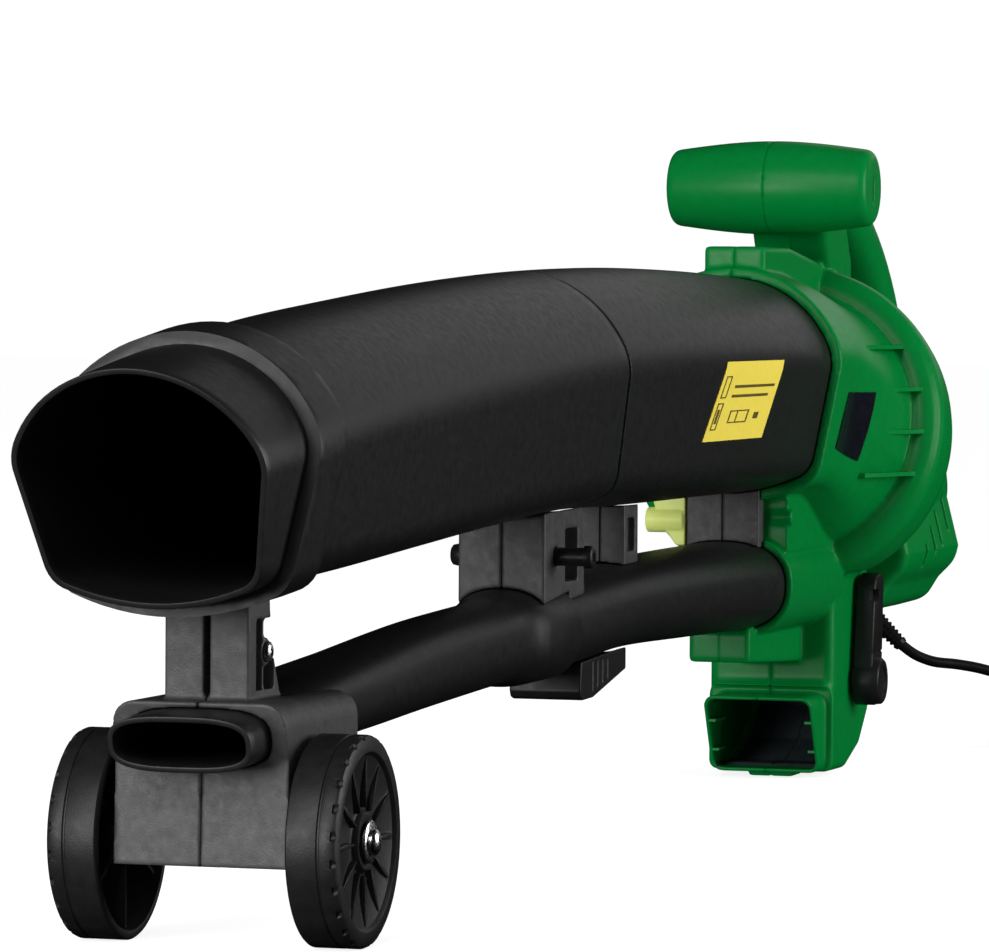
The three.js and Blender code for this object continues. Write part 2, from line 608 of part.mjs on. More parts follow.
function rearBridge() {
  const ring = turned([[-217, 11.3], [-217, 34.5], [-209, 38], [-209, 11.3], [-217, 11.3]], 20);
  place('motor_bridge', ring, GREY, shaftLine);
}

function housing() {
  const hub = bar([LEVER.x, -60, LEVER.z], [LEVER.x, 60, LEVER.z], 6.4);
  const relief = bar([-1198, -15, 89.3], RELIEF.tip, 6.8, 4.6);
  const shell = housingOutside().subtract(housingInside()).add(screwBosses(5.2)).subtract(screwBosses(2.3))
    .subtract(union(hub, relief, WEB_SEAT(), LATCH_SEAT()))
    .subtract(union(arch(7.6, 8.62, GAP), oval(-800, -884, GAP, 2)));
  halves(shell, 'housing_left', 'housing_right', GREEN);
  HOUSING_SCREWS.forEach(([x, z], i) => {
    const shank = bar([x, -14, z], [x, 13, z], 2, 2, 10);
    place(`housing_screw_${i + 1}`, shank, STEEL);
  });
}

function tubeLatch() {
  const wedge = new THREE.Shape([[-21.6, 167], [-42, 167], [-37, 150], [-27, 136], [-21.6, 136]]
    .map(([y, z]) => new THREE.Vector2(y, z)));
  const geometry = new THREE.ExtrudeGeometry(wedge, { depth: 11, bevelEnabled: false });
  geometry.rotateX(Math.PI / 2);
  geometry.rotateZ(Math.PI / 2);
  geometry.translate(-833, 0, 0);
  const boss = bar([-826, -44, 150], [-826, -22.5, 150], 7);
  place('tube_latch', solid(geometry).add(boss).subtract(CLEAR_OF_TUBES()), LIME);
}

// ---- controls ----
function selector() {
  const { x, z, inner, outer } = LEVER;
  const arm = slab([[x - 14, z + 2], [x + 12, z + 4], [x + 4, z + 54], [x, z + 60], [x - 10, z + 62],
    [x - 18, z + 58]], inner, outer);
  const hub = bar([x, inner, z], [x, outer + 4, z], 14, 13, 32);
  place('selector_lever', arm.add(hub), BLACK);
  const spindle = bar([x, -35.6, z], [x, 38.2, z], 6, 6, 24).intersect(box(-1100, -900, -32.6, 38.2, 0, 200));
  const blade = slab([[x + 2, z + 4.5], [x + 4.5, z + 2], [x + 32.5, z + 28], [x + 29.5, z + 31]], -32.4, 32.4);
  place('selector_flap', spindle.add(blade), BLACK);
}

function trigger() {
  const finger = slab([[-1038, 300], [-1046, 297], [-1074, 296], [-1080, 301], [-1080, 320], [-1038, 322]], -6, 6);
  place('trigger', finger, BLACK);
  place('switch_body', box(-1102, -1086, -9, 9, 304, 316), GREY);
}

// ---- cord ----
// The free stretch, from the strain relief out to the side and down onto the coil.
const TO_COIL = [[-1200, 14.2, 61.4], [-1202, 22.8, 55.2], [-1206.5, 33, 51], [-1213.8, 46.1, 49.2],
  [-1220.5, 60, 46.4], [-1227.1, 75.8, 41], [-1229.6, 92.1, 32.3], [-1227.7, 109, 23.4], [-1232.4, 126.8, 14.8],
  [-1237, 132, 12.2]];
const COIL = { x: -1262, y: 110, z: 4.5, first: 31, pitch: 7, from: 90, to: 660 };
const PLUG = { tail: 26, tilt: THREE.MathUtils.degToRad(15), start: 9.9 };

function cordTube(points) {
  const curve = new THREE.CatmullRomCurve3(points.map((p) => new THREE.Vector3(...p)));
  const shape = new THREE.Shape();
  shape.absarc(0, 0, CORD.diameter / 2, 0, 2 * Math.PI);
  const steps = Math.round(curve.getLength() / (CORD.diameter * 2.4));
  return new THREE.ExtrudeGeometry(shape, { extrudePath: curve, steps, curveSegments: 5, bevelEnabled: false });
}

function coilRadius(angle) {
  return COIL.first + COIL.pitch * (angle - COIL.from) / 360;
}

// A body of revolution about +X, moved to the coil's end and turned along the cord.
function onPlugAxis(body) {
  const angle = THREE.MathUtils.degToRad(COIL.to);
  const radius = coilRadius(COIL.to);
  const heading = angle + Math.PI / 2;
  const turn = new THREE.Matrix4().makeRotationZ(heading)
    .multiply(new THREE.Matrix4().makeRotationY(-PLUG.tilt));
  const x = COIL.x + radius * Math.cos(angle) + PLUG.tail * Math.cos(heading);
  const y = COIL.y + radius * Math.sin(angle) + PLUG.tail * Math.sin(heading);
  return toGeometry(body).applyMatrix4(turn.setPosition(x, y, PLUG.start));
}

function cord() {
  place('strain_relief', bar(RELIEF.top, RELIEF.tip, 6.2, 4.2, 16), RUBBER);
  place('mains_cord', solid(cordTube(TO_COIL)), RUBBER);
  const half = CORD.diameter / 2;
  const inner = COIL.first - half;
  const outer = coilRadius(COIL.to) + half;
  const low = COIL.z - half;
  const high = COIL.z + half;
  const ring = new THREE.LatheGeometry([[inner, low + 1], [inner + 1, low], [outer - 1, low], [outer, low + 1],
    [outer, high - 1], [outer - 1, high], [inner + 1, high], [inner, high - 1], [inner, low + 1]]
    .map(([r, z]) => new THREE.Vector2(r, z)), 32);
  ring.rotateX(Math.PI / 2);
  ring.translate(COIL.x, COIL.y, 0);
  place('cord_coil', solid(ring), RUBBER);
  const tieX = COIL.x - (inner + outer) / 2;
  const reach = (outer - inner) / 2 + 0.6;
  const band = box(tieX - reach - 1, tieX + reach + 1, COIL.y - 5, COIL.y + 5, 0, high + 1.3)
    .subtract(box(tieX - reach, tieX + reach, COIL.y - 6, COIL.y + 6, low - 0.3, high + 0.4));
  place('cord_tie', band, GREY);
  const body = turned([[0.3, 0], [0.3, 4.6], [14, 6.4], [18, 13], [22, 16], [38, 16], [40, 14.5], [40, 0]], 28);
  const pins = [-9.5, 9.5].map((y) => bar([39, y, 0], [59, y, 0], 2.4, 2, 10));
  place('plug', onPlugAxis(union(body, ...pins)), RUBBER);
}

suctionTubes();
blowerTubes();
web('tube_web_middle', -575, 26, 13);
web('tube_web_rear', -822, 12, 20.5);
midStrut();
bagHook();
wheelCarrier();
wheels();
fanAndMotor();
rearBridge();
housing();
tubeLatch();
selector();
trigger();
cord();

machine.position.x = AXLE_TO_CENTRE;
const model = new THREE.Group();
model.add(machine);
export default model;
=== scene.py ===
"""Leaf vacuum mulcher: the looks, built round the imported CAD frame.

Stations are in millimetres from the wheel axle, as the CAD source has them; at() turns them into metres.
+X points to the suction mouth, +Y to the operator's left, +Z up, and the floor is at Z = 0.
"""
from math import asin, atan2, copysign, cos, pi, radians, sin, sqrt, tan

import bmesh
import bpy
from mathutils import Matrix, Vector
from mathutils.bvhtree import BVHTree


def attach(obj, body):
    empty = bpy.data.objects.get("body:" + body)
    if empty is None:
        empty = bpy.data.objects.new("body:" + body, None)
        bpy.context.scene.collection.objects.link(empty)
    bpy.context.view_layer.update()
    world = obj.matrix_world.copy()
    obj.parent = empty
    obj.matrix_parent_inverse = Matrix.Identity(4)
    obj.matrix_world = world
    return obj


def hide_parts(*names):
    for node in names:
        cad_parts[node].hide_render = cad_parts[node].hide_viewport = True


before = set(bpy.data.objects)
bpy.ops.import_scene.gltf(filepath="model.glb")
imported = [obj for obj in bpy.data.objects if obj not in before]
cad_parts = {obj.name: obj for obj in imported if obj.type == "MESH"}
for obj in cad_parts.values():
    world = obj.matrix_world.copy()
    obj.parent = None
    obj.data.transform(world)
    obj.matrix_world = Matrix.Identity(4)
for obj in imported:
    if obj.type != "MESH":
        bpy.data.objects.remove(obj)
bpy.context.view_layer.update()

AXLE_TO_CENTRE = 552.6
MM = 0.001

# ---- driving dimensions, as in the CAD source ----
WHEEL_RADIUS, WHEEL_INNER, WHEEL_OUTER, AXLE_Z = 45, 41.5, 64, 45
TUBE_WALL = 2.6
FRONT_END, TUBE_END = 4.96, 8.62  # stations along the suction tube
BLOWER_WALL = 2.4
FAN_X, FAN_Z, FAN_TILT = -988, 195.5, radians(11.3)
CHAMBER_RADIUS = 86
BAR_X, BAR_Z, BAR_RADIUS, BAR_END, BAR_HALF = -930.6, 336, 26.6, 22, 58.6
LEVER_X, LEVER_Z, LEVER_IN, LEVER_OUT = -983, 53, 38.6, 50
SUCTION = [  # top (x, z), bottom (x, z), half width
    ((124.2, 244.3), (84.4, 145.4), 55.5),
    ((54, 253.6), (14, 149.2), 57),
    ((-40, 264.0), (-75, 152.5), 57),
    ((-163, 273.0), (-190, 157.8), 56.6),
    ((-297, 281.0), (-318, 163.5), 56.2),
    ((-427, 286.2), (-446, 167.5), 56.4),
    ((-570, 288.6), (-577, 166.4), 57.6),
    ((-727, 287.4), (-722, 166.0), 58.6),
    ((-838, 284.2), (-826, 165.8), 59.1),
    ((-900, 282.0), (-886, 165.7), 59.1),
]
BLOWER = [  # x, centre z, half width, half height
    (58, 88.0, 31.5, 11.8),
    (20, 89.8, 30.5, 12.8),
    (-60, 93.2, 27, 15.6),
    (-150, 97.2, 23.5, 18.4),
    (-260, 103.0, 21.8, 20.2),
    (-400, 107.8, 23.2, 20.4),
    (-450, 109.6, 27.0, 21.4),
    (-560, 114.8, 30.0, 21.6),
    (-700, 115.0, 32.2, 23.4),
    (-838, 113.9, 34, 24.8),
    (-900, 113.9, 34, 24.8),
]
NOZZLE_LEAN = tan(radians(14.4))
OVAL_SIDES = 64
BAND_HEIGHT, BAND_OUTLINE = 5.4, [(71, 110), (49, 290), (17, 290), (38, 110)]
STRUT_SCREW_X, STRUT_SCREW_Z = 2, 124
TUBE_ROOM = 0.5  # between the tubes and what holds them
PIN_X, PIN_Z = -420, 147


def at(x, y, z):
    """A point in the row frame, in metres, from millimetres measured from the axle."""
    return Vector(((x + AXLE_TO_CENTRE) * MM, y * MM, z * MM))


# ---- camera ----
SENSOR_WIDTH, FOCAL_LENGTH = 36, 218.402427
CAMERA_PLACE = (2386.8, 843.5, 276.5)


def make_camera():
    """The camera that sees the object as the photographer did: from the front and a little to its left."""
    yaw, pitch, roll = radians(16.91), radians(1.77), radians(0.38)
    forward = Vector((-cos(yaw) * cos(pitch), -sin(yaw) * cos(pitch), -sin(pitch)))
    level = forward.cross(Vector((0, 0, 1))).normalized()
    upright = level.cross(forward)
    right = cos(roll) * level + sin(roll) * upright
    up = -sin(roll) * level + cos(roll) * upright
    data = bpy.data.cameras.new("camera")
    data.sensor_width = SENSOR_WIDTH
    data.lens = FOCAL_LENGTH
    data.clip_end = 50
    camera = bpy.data.objects.new("camera", data)
    turn = Matrix((right, up, -forward)).transposed().to_4x4()
    camera.matrix_world = Matrix.Translation(at(*CAMERA_PLACE)) @ turn
    bpy.context.collection.objects.link(camera)
    bpy.context.scene.camera = camera


# ---- materials ----
def put(node, **values):
    """Sets constant sockets of a node; an underscore in a name stands for a space."""
    for name, value in values.items():
        node.inputs[name.replace("_", " ")].default_value = value


def new_material(name, color, roughness, metallic=0.0):
    material = bpy.data.materials.new(name)
    material.use_nodes = True
    shader = material.node_tree.nodes["Principled BSDF"]
    put(shader, Base_Color=(*color, 1), Roughness=roughness, Metallic=metallic)
    return material, shader


def wire(material, giver, output, taker, socket):
    material.node_tree.links.new(giver.outputs[output], taker.inputs[socket])


def add_noise(material, scale, detail, stretch=(1, 1, 1)):
    """A noise texture over the object's own coordinates, in cells per metre."""
    nodes = material.node_tree.nodes
    place = nodes.new("ShaderNodeTexCoord")
    mapping = nodes.new("ShaderNodeMapping")
    put(mapping, Scale=stretch)
    noise = nodes.new("ShaderNodeTexNoise")
    put(noise, Scale=scale, Detail=detail)
    wire(material, place, "Object", mapping, "Vector")
    wire(material, mapping, "Vector", noise, "Vector")
    return noise


def vary(material, shader, noise, socket, low, high):
    """Drives a socket of the shader between two values or two colours by a noise texture."""
    nodes = material.node_tree.nodes
    if isinstance(low, tuple):
        ramp = nodes.new("ShaderNodeValToRGB")
        ramp.color_ramp.elements[0].position, ramp.color_ramp.elements[1].position = 0.3, 0.7
        ramp.color_ramp.elements[0].color = (*low, 1)
        ramp.color_ramp.elements[1].color = (*high, 1)
        wire(material, noise, "Fac", ramp, "Fac")
        wire(material, ramp, "Color", shader, socket)
        return
    spread = nodes.new("ShaderNodeMapRange")
    put(spread, From_Min=0.3, From_Max=0.7, To_Min=low, To_Max=high)
    wire(material, noise, "Fac", spread, "Value")
    wire(material, spread, "Result", shader, socket)


def roughen(material, shader, noise, distance):
    """A bump of that depth in metres from a noise texture."""
    bump = material.node_tree.nodes.new("ShaderNodeBump")
    put(bump, Distance=distance, Strength=1.0)
    wire(material, noise, "Fac", bump, "Height")
    wire(material, bump, "Normal", shader, "Normal")


def plastic(name, dark, light, roughness, grain_scale, grain_depth, wear=0.04, specular=0.25):
    """Moulded plastic: slightly uneven colour, cloudy gloss and a fine grain."""
    material, shader = new_material(name, light, roughness)
    cloud = add_noise(material, 160, 5)
    vary(material, shader, cloud, "Base Color", dark, light)
    patches = add_noise(material, 240, 4)
    vary(material, shader, patches, "Roughness", roughness - wear, roughness + wear)
    roughen(material, shader, add_noise(material, grain_scale, 3), grain_depth)
    put(shader, Specular_IOR_Level=specular)
    return material


def metal(name, color, roughness, stretch=(1, 1, 1)):
    material, shader = new_material(name, color, roughness, 1.0)
    streaks = add_noise(material, 900, 3, stretch)
    vary(material, shader, streaks, "Roughness", roughness - 0.08, roughness + 0.1)
    roughen(material, shader, streaks, 0.00002)
    return material


GREEN = plastic("green_moulded", (0.0, 0.184, 0.030), (0.0, 0.202, 0.036), 0.33, 1400, 0.00002, 0.03, 0.11)
TUBE_BLACK = plastic("black_satin", (0.0095, 0.0095, 0.0097), (0.0125, 0.0125, 0.0127), 0.42, 900, 0.00003)
GRAINED = plastic("black_grained", (0.036, 0.036, 0.0365), (0.060, 0.060, 0.061), 0.5, 1500, 0.00014, 0.06,
                  0.4)
WHEEL_BLACK = plastic("black_wheel", (0.008, 0.008, 0.0083), (0.012, 0.012, 0.0124), 0.44, 1500, 0.00008)
LEVER_BLACK = plastic("black_lever", (0.008, 0.008, 0.0083), (0.012, 0.012, 0.0124), 0.42, 1800, 0.00006)
LIME = plastic("lime_moulded", (0.80, 0.93, 0.23), (0.86, 0.96, 0.27), 0.4, 1400, 0.00003)
RUBBER = plastic("cord_rubber", (0.0035, 0.0035, 0.0037), (0.006, 0.006, 0.0064), 0.45, 2500, 0.00004)
GREY = plastic("grey_moulded", (0.12, 0.125, 0.13), (0.17, 0.175, 0.18), 0.5, 1200, 0.00005)
INSIDE = plastic("carbon_black", (0.010, 0.010, 0.0105), (0.02, 0.02, 0.021), 0.7, 800, 0.00003)
# Painted shade: a dark colour for the inside of the green duct behind the bag outlet, standing in for the
# shade that falls there.
DUCT_PAINTED_SHADE = plastic("duct_painted_shade", (0.022, 0.030, 0.034), (0.032, 0.043, 0.048), 0.5, 900, 0.00003)
LABEL_YELLOW = plastic("label_yellow", (0.93, 0.75, 0.085), (0.97, 0.79, 0.10), 0.45, 700, 0.00001)
LABEL_INK = plastic("label_ink", (0.10, 0.075, 0.015), (0.14, 0.10, 0.02), 0.5, 900, 0.00001)
BADGE_NAVY = plastic("badge_navy", (0.004, 0.004, 0.009), (0.006, 0.006, 0.012), 0.3, 700, 0.00001)
ZINC = metal("zinc_plate", (0.72, 0.73, 0.75), 0.24)
STEEL = metal("plain_steel", (0.52, 0.52, 0.54), 0.3, (1, 1, 8))
COPPER = metal("copper_winding", (0.62, 0.24, 0.09), 0.35, (1, 12, 1))


# ---- mesh tools ----
def unit_circle(count):
    """The sine and cosine of evenly spaced angles, from straight up."""
    return [(sin(2 * pi * k / count), cos(2 * pi * k / count)) for k in range(count)]


def arc_points(level, up, radius, first, step, count):
    """Points of an arc round a centre, from the first angle on, in degrees."""
    angles = [radians(first + step * k) for k in range(count)]
    return [(level + radius * cos(a), up + radius * sin(a)) for a in angles]


def rounded_box(x0, x1, z0, z1, corner, count):
    """A rectangle with round corners, each of that many points."""
    centres = ((x1 - corner, z1 - corner), (x0 + corner, z1 - corner),
               (x0 + corner, z0 + corner), (x1 - corner, z0 + corner))
    return [p for i, (x, z) in enumerate(centres)
            for p in arc_points(x, z, corner, 90 * i, 90 / (count - 1), count)]


def new_object(name, vertices, faces):
    mesh = bpy.data.meshes.new(name)
    mesh.from_pydata([tuple(v) for v in vertices], [], faces)
    mesh.validate()
    made = bpy.data.objects.new(name, mesh)
    bpy.context.collection.objects.link(made)
    return made


def face_out(obj):
    """Turns every face of a closed mesh outward."""
    work = bmesh.new()
    work.from_mesh(obj.data)
    bmesh.ops.recalc_face_normals(work, faces=work.faces)
    work.to_mesh(obj.data)
    work.free()
    return obj


def bake(obj):
    """Applies the object's modifiers."""
    bpy.context.view_layer.update()
    shape = bpy.data.meshes.new_from_object(obj.evaluated_get(bpy.context.evaluated_depsgraph_get()))
    obj.modifiers.clear()
    obj.data = shape
    return obj


def drop(obj):
    bpy.data.objects.remove(obj, do_unlink=True)


def combine(obj, others, operation):
    """Joins, cuts or intersects obj with closed solids, one after another."""
    for other in others:
        step = obj.modifiers.new(operation, "BOOLEAN")
        step.operation = operation
        step.solver = "MANIFOLD"
        step.object = other
        bake(obj)
        drop(other)
    return obj


def bevel(obj, width, segments=2, angle=35):
    step = obj.modifiers.new("edges", "BEVEL")
    step.width = width * MM
    step.segments = segments
    step.limit_method = "ANGLE"
    step.angle_limit = radians(angle)
    step.use_clamp_overlap = True
    return bake(obj)


def smooth(obj, angle=40):
    """Smooth shading that keeps edges sharper than the angle."""
    work = bmesh.new()
    work.from_mesh(obj.data)
    limit = radians(angle)
    for face in work.faces:
        face.smooth = True
    for edge in work.edges:
        edge.smooth = len(edge.link_faces) == 2 and edge.calc_face_angle(0) < limit
    work.to_mesh(obj.data)
    work.free()
    return obj


def melt(obj, voxel, rounds):
    """Fuses overlapping solids into one skin and softens its edges, as a moulding has them."""
    step = obj.modifiers.new("fuse", "REMESH")
    step.mode = "VOXEL"
    step.voxel_size = voxel * MM
    bake(obj)
    soften = obj.modifiers.new("soften", "SMOOTH")
    soften.factor = 0.5
    soften.iterations = rounds
    return bake(obj)


def half_of(body, near, far):
    """A copy of a body between two widths."""
    half = body.copy()
    half.data = body.data.copy()
    bpy.context.collection.objects.link(half)
    return combine(half, [box(-1400, 400, near, far, -50, 500)], "INTERSECT")


def join(name, solids):
    """Several closed meshes as one object, without a boolean."""
    work = bmesh.new()
    for part in solids:
        work.from_mesh(part.data)
    mesh = bpy.data.meshes.new(name)
    work.to_mesh(mesh)
    work.free()
    for part in solids:
        drop(part)
    made = bpy.data.objects.new(name, mesh)
    bpy.context.collection.objects.link(made)
    return made


def dress(obj, material, body="machine", replaces=(), angle=40, name=None):
    """Gives a finished piece its material and shading, and rides it on a body in place of CAD nodes."""
    obj.name = name or obj.name
    obj.data.materials.clear()
    obj.data.materials.append(material)
    for face in obj.data.polygons:
        face.material_index = 0
    smooth(obj, angle)
    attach(obj, body)
    if replaces:
        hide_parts(*replaces)
    return obj


def brick(x0, x1, y0, y1, z0, z1, name="brick"):
    """A block between limits in metres."""
    corners = [Vector((x, y, z)) for x in (x0, x1) for y in (y0, y1) for z in (z0, z1)]
    faces = [(0, 1, 3, 2), (4, 6, 7, 5), (0, 4, 5, 1), (2, 3, 7, 6), (0, 2, 6, 4), (1, 5, 7, 3)]
    return face_out(new_object(name, corners, faces))


def box(x0, x1, y0, y1, z0, z1):
    """A block between stations in millimetres."""
    (x0, y0, z0), (x1, y1, z1) = at(x0, y0, z0), at(x1, y1, z1)
    return brick(x0, x1, y0, y1, z0, z1)


def prism(low, high, name):
    """A closed body between two like outlines of points in metres."""
    count = len(low)
    faces = [tuple(range(count)), tuple(reversed(range(count, 2 * count)))]
    faces += [(i, (i + 1) % count, count + (i + 1) % count, count + i) for i in range(count)]
    return face_out(new_object(name, low + high, faces))


def extrude(section, x0, x1, name):
    """A section of (y, z) points, between two stations."""
    return loft([[at(x, y, z) for y, z in section] for x in (x0, x1)], name)


def slab(outline, y0, y1, name="slab"):
    """A side-view outline of (x, z) points, between two widths."""
    low, high = ([at(x, y, z) for x, z in outline] for y in (y0, y1))
    return prism(low, high, name)


def skin_over(rings, bands, caps, name):
    """A closed skin of that many bands through rings of points in metres, with caps."""
    count = len(rings[0])
    faces = []
    for r in range(bands):
        low, high = r * count, (r + 1) % len(rings) * count
        faces += [(low + i, low + (i + 1) % count, high + (i + 1) % count, high + i) for i in range(count)]
    return face_out(new_object(name, [p for ring in rings for p in ring], faces + caps))


def loft(rings, name="loft"):
    """A closed skin through rings of points in metres, capped at both ends."""
    count, total = len(rings[0]), len(rings) * len(rings[0])
    caps = [tuple(reversed(range(count))), tuple(range(total - count, total))]
    return skin_over(rings, len(rings) - 1, caps, name)


def sleeve(outer, inner, name):
    """A tube wall: an outer and an inner skin, joined at both rims."""
    rings = outer + inner[::-1]
    return skin_over(rings, len(rings), [], name)


def turned(profile, sides=64, name="turned"):
    """A closed body of revolution about +X at the origin, from (x, radius) points, in metres."""
    vertices, rows = [], []
    for x, radius in profile:
        if radius == 0:
            rows.append([len(vertices)])
            vertices.append(Vector((x * MM, 0, 0)))
            continue
        rows.append(list(range(len(vertices), len(vertices) + sides)))
        vertices += [Vector((x * MM, radius * MM * y, radius * MM * z)) for y, z in unit_circle(sides)]
    loops = rows + ([] if len(rows[0]) == 1 and len(rows[-1]) == 1 else [rows[0]])
    faces = []
    for low, high in zip(loops, loops[1:]):
        for i in range(sides):
            j = (i + 1) % sides
            if len(low) == 1:
                faces.append((low[0], high[i], high[j]))
            elif len(high) == 1:
                faces.append((low[i], high[0], low[j]))
            else:
                faces.append((low[i], high[i], high[j], low[j]))
    return face_out(new_object(name, vertices, faces))


def moved(obj, matrix):
    obj.data.transform(matrix)
    obj.data.update()
    return obj


def along(start, end):
    """The matrix that carries +X at the origin onto the line from start, in metres."""
    direction = (end - start).normalized()
    return Matrix.Translation(start) @ Vector((1, 0, 0)).rotation_difference(direction).to_matrix().to_4x4()


def across(x, z, side=1):
    """The matrix that carries +X at the origin onto the line across the machine at a station."""
    return Matrix.Translation(at(x, 0, z)) @ Matrix.Rotation(side * pi / 2, 4, "Z")


def bar(start, end, radius, end_radius=None):
    start, end = at(*start), at(*end)
    length = (end - start).length / MM
    profile = [(0, 0), (0, radius), (length, end_radius or radius), (length, 0)]
    return moved(turned(profile, 32, "bar"), along(start, end))


def pin(x, z, y0, y1, radius):
    """A bar straight across the machine, between two widths."""
    return bar((x, y0, z), (x, y1, z), radius)


FAN_FRAME = Matrix.Translation(at(FAN_X, 0, FAN_Z)) @ Matrix.Rotation(-FAN_TILT, 4, "Y")


# ---- tube sections ----
def spline(points, u):
    """Centripetal Catmull-Rom through the points, for u from 0 to 1."""
    last = len(points) - 1
    place = min(max(u, 0), 1) * last
    i = min(int(place), last - 1)
    w = place - i
    p1, p2 = points[i], points[i + 1]
    p0 = points[i - 1] if i > 0 else 2 * p1 - p2
    p3 = points[i + 2] if i + 2 <= last else 2 * p2 - p1
    d0, d1, d2 = ((b - a).length ** 0.5 or 1.0 for a, b in ((p0, p1), (p1, p2), (p2, p3)))
    t1 = ((p1 - p0) / d0 - (p2 - p0) / (d0 + d1) + (p2 - p1) / d1) * d1
    t2 = ((p2 - p1) / d1 - (p3 - p1) / (d1 + d2) + (p3 - p2) / d2) * d1
    return p1 + t1 * w + (-3 * p1 + 3 * p2 - 2 * t1 - t2) * w * w + (2 * p1 - 2 * p2 + t1 + t2) * w ** 3


def curve_between(a, corner, b, steps):
    """Points of a quadratic curve from a to b pulled towards a corner, without its last point."""
    points = []
    for i in range(steps):
        s = i / steps
        points.append(tuple((1 - s) ** 2 * p + 2 * s * (1 - s) * q + s * s * r
                            for p, q, r in zip(a, corner, b)))
    return points


def arch_outline(half, height):
    """The suction tube's section: (y, distance down from the top), a round top on sides that lean in."""
    unit_half, unit_height, arc, side, low, low_half = 55.5, 106.8, 58.5, 40.0, 91.0, 46.6
    right = []
    shoulder = asin(unit_half / arc) - 0.12
    for i in range(15):
        a = shoulder * i / 15
        right.append((arc * sin(a), arc * (1 - cos(a))))
    start = (arc * sin(shoulder), arc * (1 - cos(shoulder)))
    down = (unit_half - 1.1, side + 8)
    right += curve_between(start, (unit_half + 0.6, side + 1), down, 5)
    foot = (low_half + 0.9, low - 5)
    right += [tuple(p + (q - p) * i / 4 for p, q in zip(down, foot)) for i in range(4)]
    heel = (low_half - 9, low + 8.3)
    right += curve_between(foot, (low_half - 0.4, low + 5.6), heel, 6)
    bottom_arc = (heel[0] ** 2 + (unit_height - heel[1]) ** 2) / (2 * (unit_height - heel[1]))
    sweep = asin(heel[0] / bottom_arc)
    for i in range(7):
        a = sweep * (1 - i / 7)
        right.append((bottom_arc * sin(a), unit_height - bottom_arc * (1 - cos(a))))
    right.append((0, unit_height))
    outline = right + [(-y, h) for y, h in reversed(right[1:-1])]
    return [(y / unit_half * half, h / unit_height * height) for y, h in outline]


TUBE_TOP = [Vector((top[0], half, top[1])) for top, _, half in SUCTION]
TUBE_BOTTOM = [Vector((bottom[0], 0, bottom[1])) for _, bottom, _ in SUCTION]


def arch_ring(t, grow=0.0):
    """One ring of the suction tube at station t, its wall moved outward by grow."""
    wanted = t / (len(SUCTION) - 1)
    u = min(max(wanted, 0), 1)
    top = spline(TUBE_TOP, u)
    half, top.y = top.y + grow, 0
    down = spline(TUBE_BOTTOM, u) - top
    height = down.length
    down.normalize()
    start = top - down * grow + Vector(((u - wanted) * 1000, 0, 0))
    ring = [start + down * h + Vector((0, y, 0)) for y, h in arch_outline(half, height + 2 * grow)]
    return [at(*p) for p in ring]


def arch_rings(stations):
    return [arch_ring(t, grow) for t, grow in stations]


def evenly(t0, t1, steps, grow=0.0):
    return [(t0 + (t1 - t0) * i / steps, grow) for i in range(steps + 1)]


def blower_at(x):
    line = [Vector((s[0], 0, s[1])) for s in BLOWER]
    size = [Vector((s[0], s[2], s[3])) for s in BLOWER]
    low, high = 0.0, 1.0
    for _ in range(30):
        middle = (low + high) / 2
        if spline(line, middle).x > x:
            low = middle
        else:
            high = middle
    measure = spline(size, low)
    return spline(line, low).z, measure.y, measure.z


def swell(value, power):
    """A sine or cosine bent so that a circle becomes a fuller oval."""
    return copysign(abs(value) ** power, value)


def oval_ring(x, grow=0.0, lean=0.0):
    """One ring of the blower tube: a slot with round ends at the nozzle, an oval further back."""
    z, width, height = blower_at(x)
    flat = min(max((x + 150) / 150, 0), 1)
    power = 2 / (2.35 + 0.75 * flat)
    ring = []
    for right, top in unit_circle(OVAL_SIDES):
        y, up = swell(right, power) * (width + grow), swell(top, power) * (height + grow)
        ring.append(at(x + up * lean, y, z + up))
    return ring


def oval_rings(x0, x1, steps, grow=0.0, lean=0.0):
    """Rings from x0 to x1; the first leans as the nozzle's rim does, and the lean fades out behind it."""
    rings = []
    for i in range(steps + 1):
        s = i / steps
        rings.append(oval_ring(x0 + (x1 - x0) * s, grow, lean * max(0, 1 - 6 * s)))
    return rings


# ---- tubes ----
def suction_tubes():
    front = arch_rings(evenly(0, FRONT_END, 54)), arch_rings(evenly(0, FRONT_END, 50, -TUBE_WALL))
    skin = sleeve(*front, "tube")
    skin = bevel(skin, 0.5, 2, 50)
    band = sleeve(arch_rings(evenly(0.1, 1.5, 14, BAND_HEIGHT)), arch_rings(evenly(0.1, 1.5, 14, -0.8)),
                  "band")
    combine(band, [slab(BAND_OUTLINE, -80, 80)], "INTERSECT")
    skin = join("suction_tube_front_skin", [skin, bevel(band, 0.9, 3, 50)])
    dress(skin, TUBE_BLACK, replaces=["suction_tube_front"])
    inset = TUBE_WALL + 0.7
    outer = [(4.5, -inset), (4.75, -inset), (4.985, -inset), (4.987, 0)] + evenly(5.0, TUBE_END, 40)
    inner = [(4.5, -inset - TUBE_WALL), (5.02, -inset - TUBE_WALL), (5.06, -TUBE_WALL)]
    inner += evenly(5.1, TUBE_END, 39, -TUBE_WALL)
    skin = sleeve(arch_rings(outer), arch_rings(inner), "suction_tube_rear_skin")
    dress(bevel(skin, 0.5, 2, 50), TUBE_BLACK, replaces=["suction_tube_rear"])


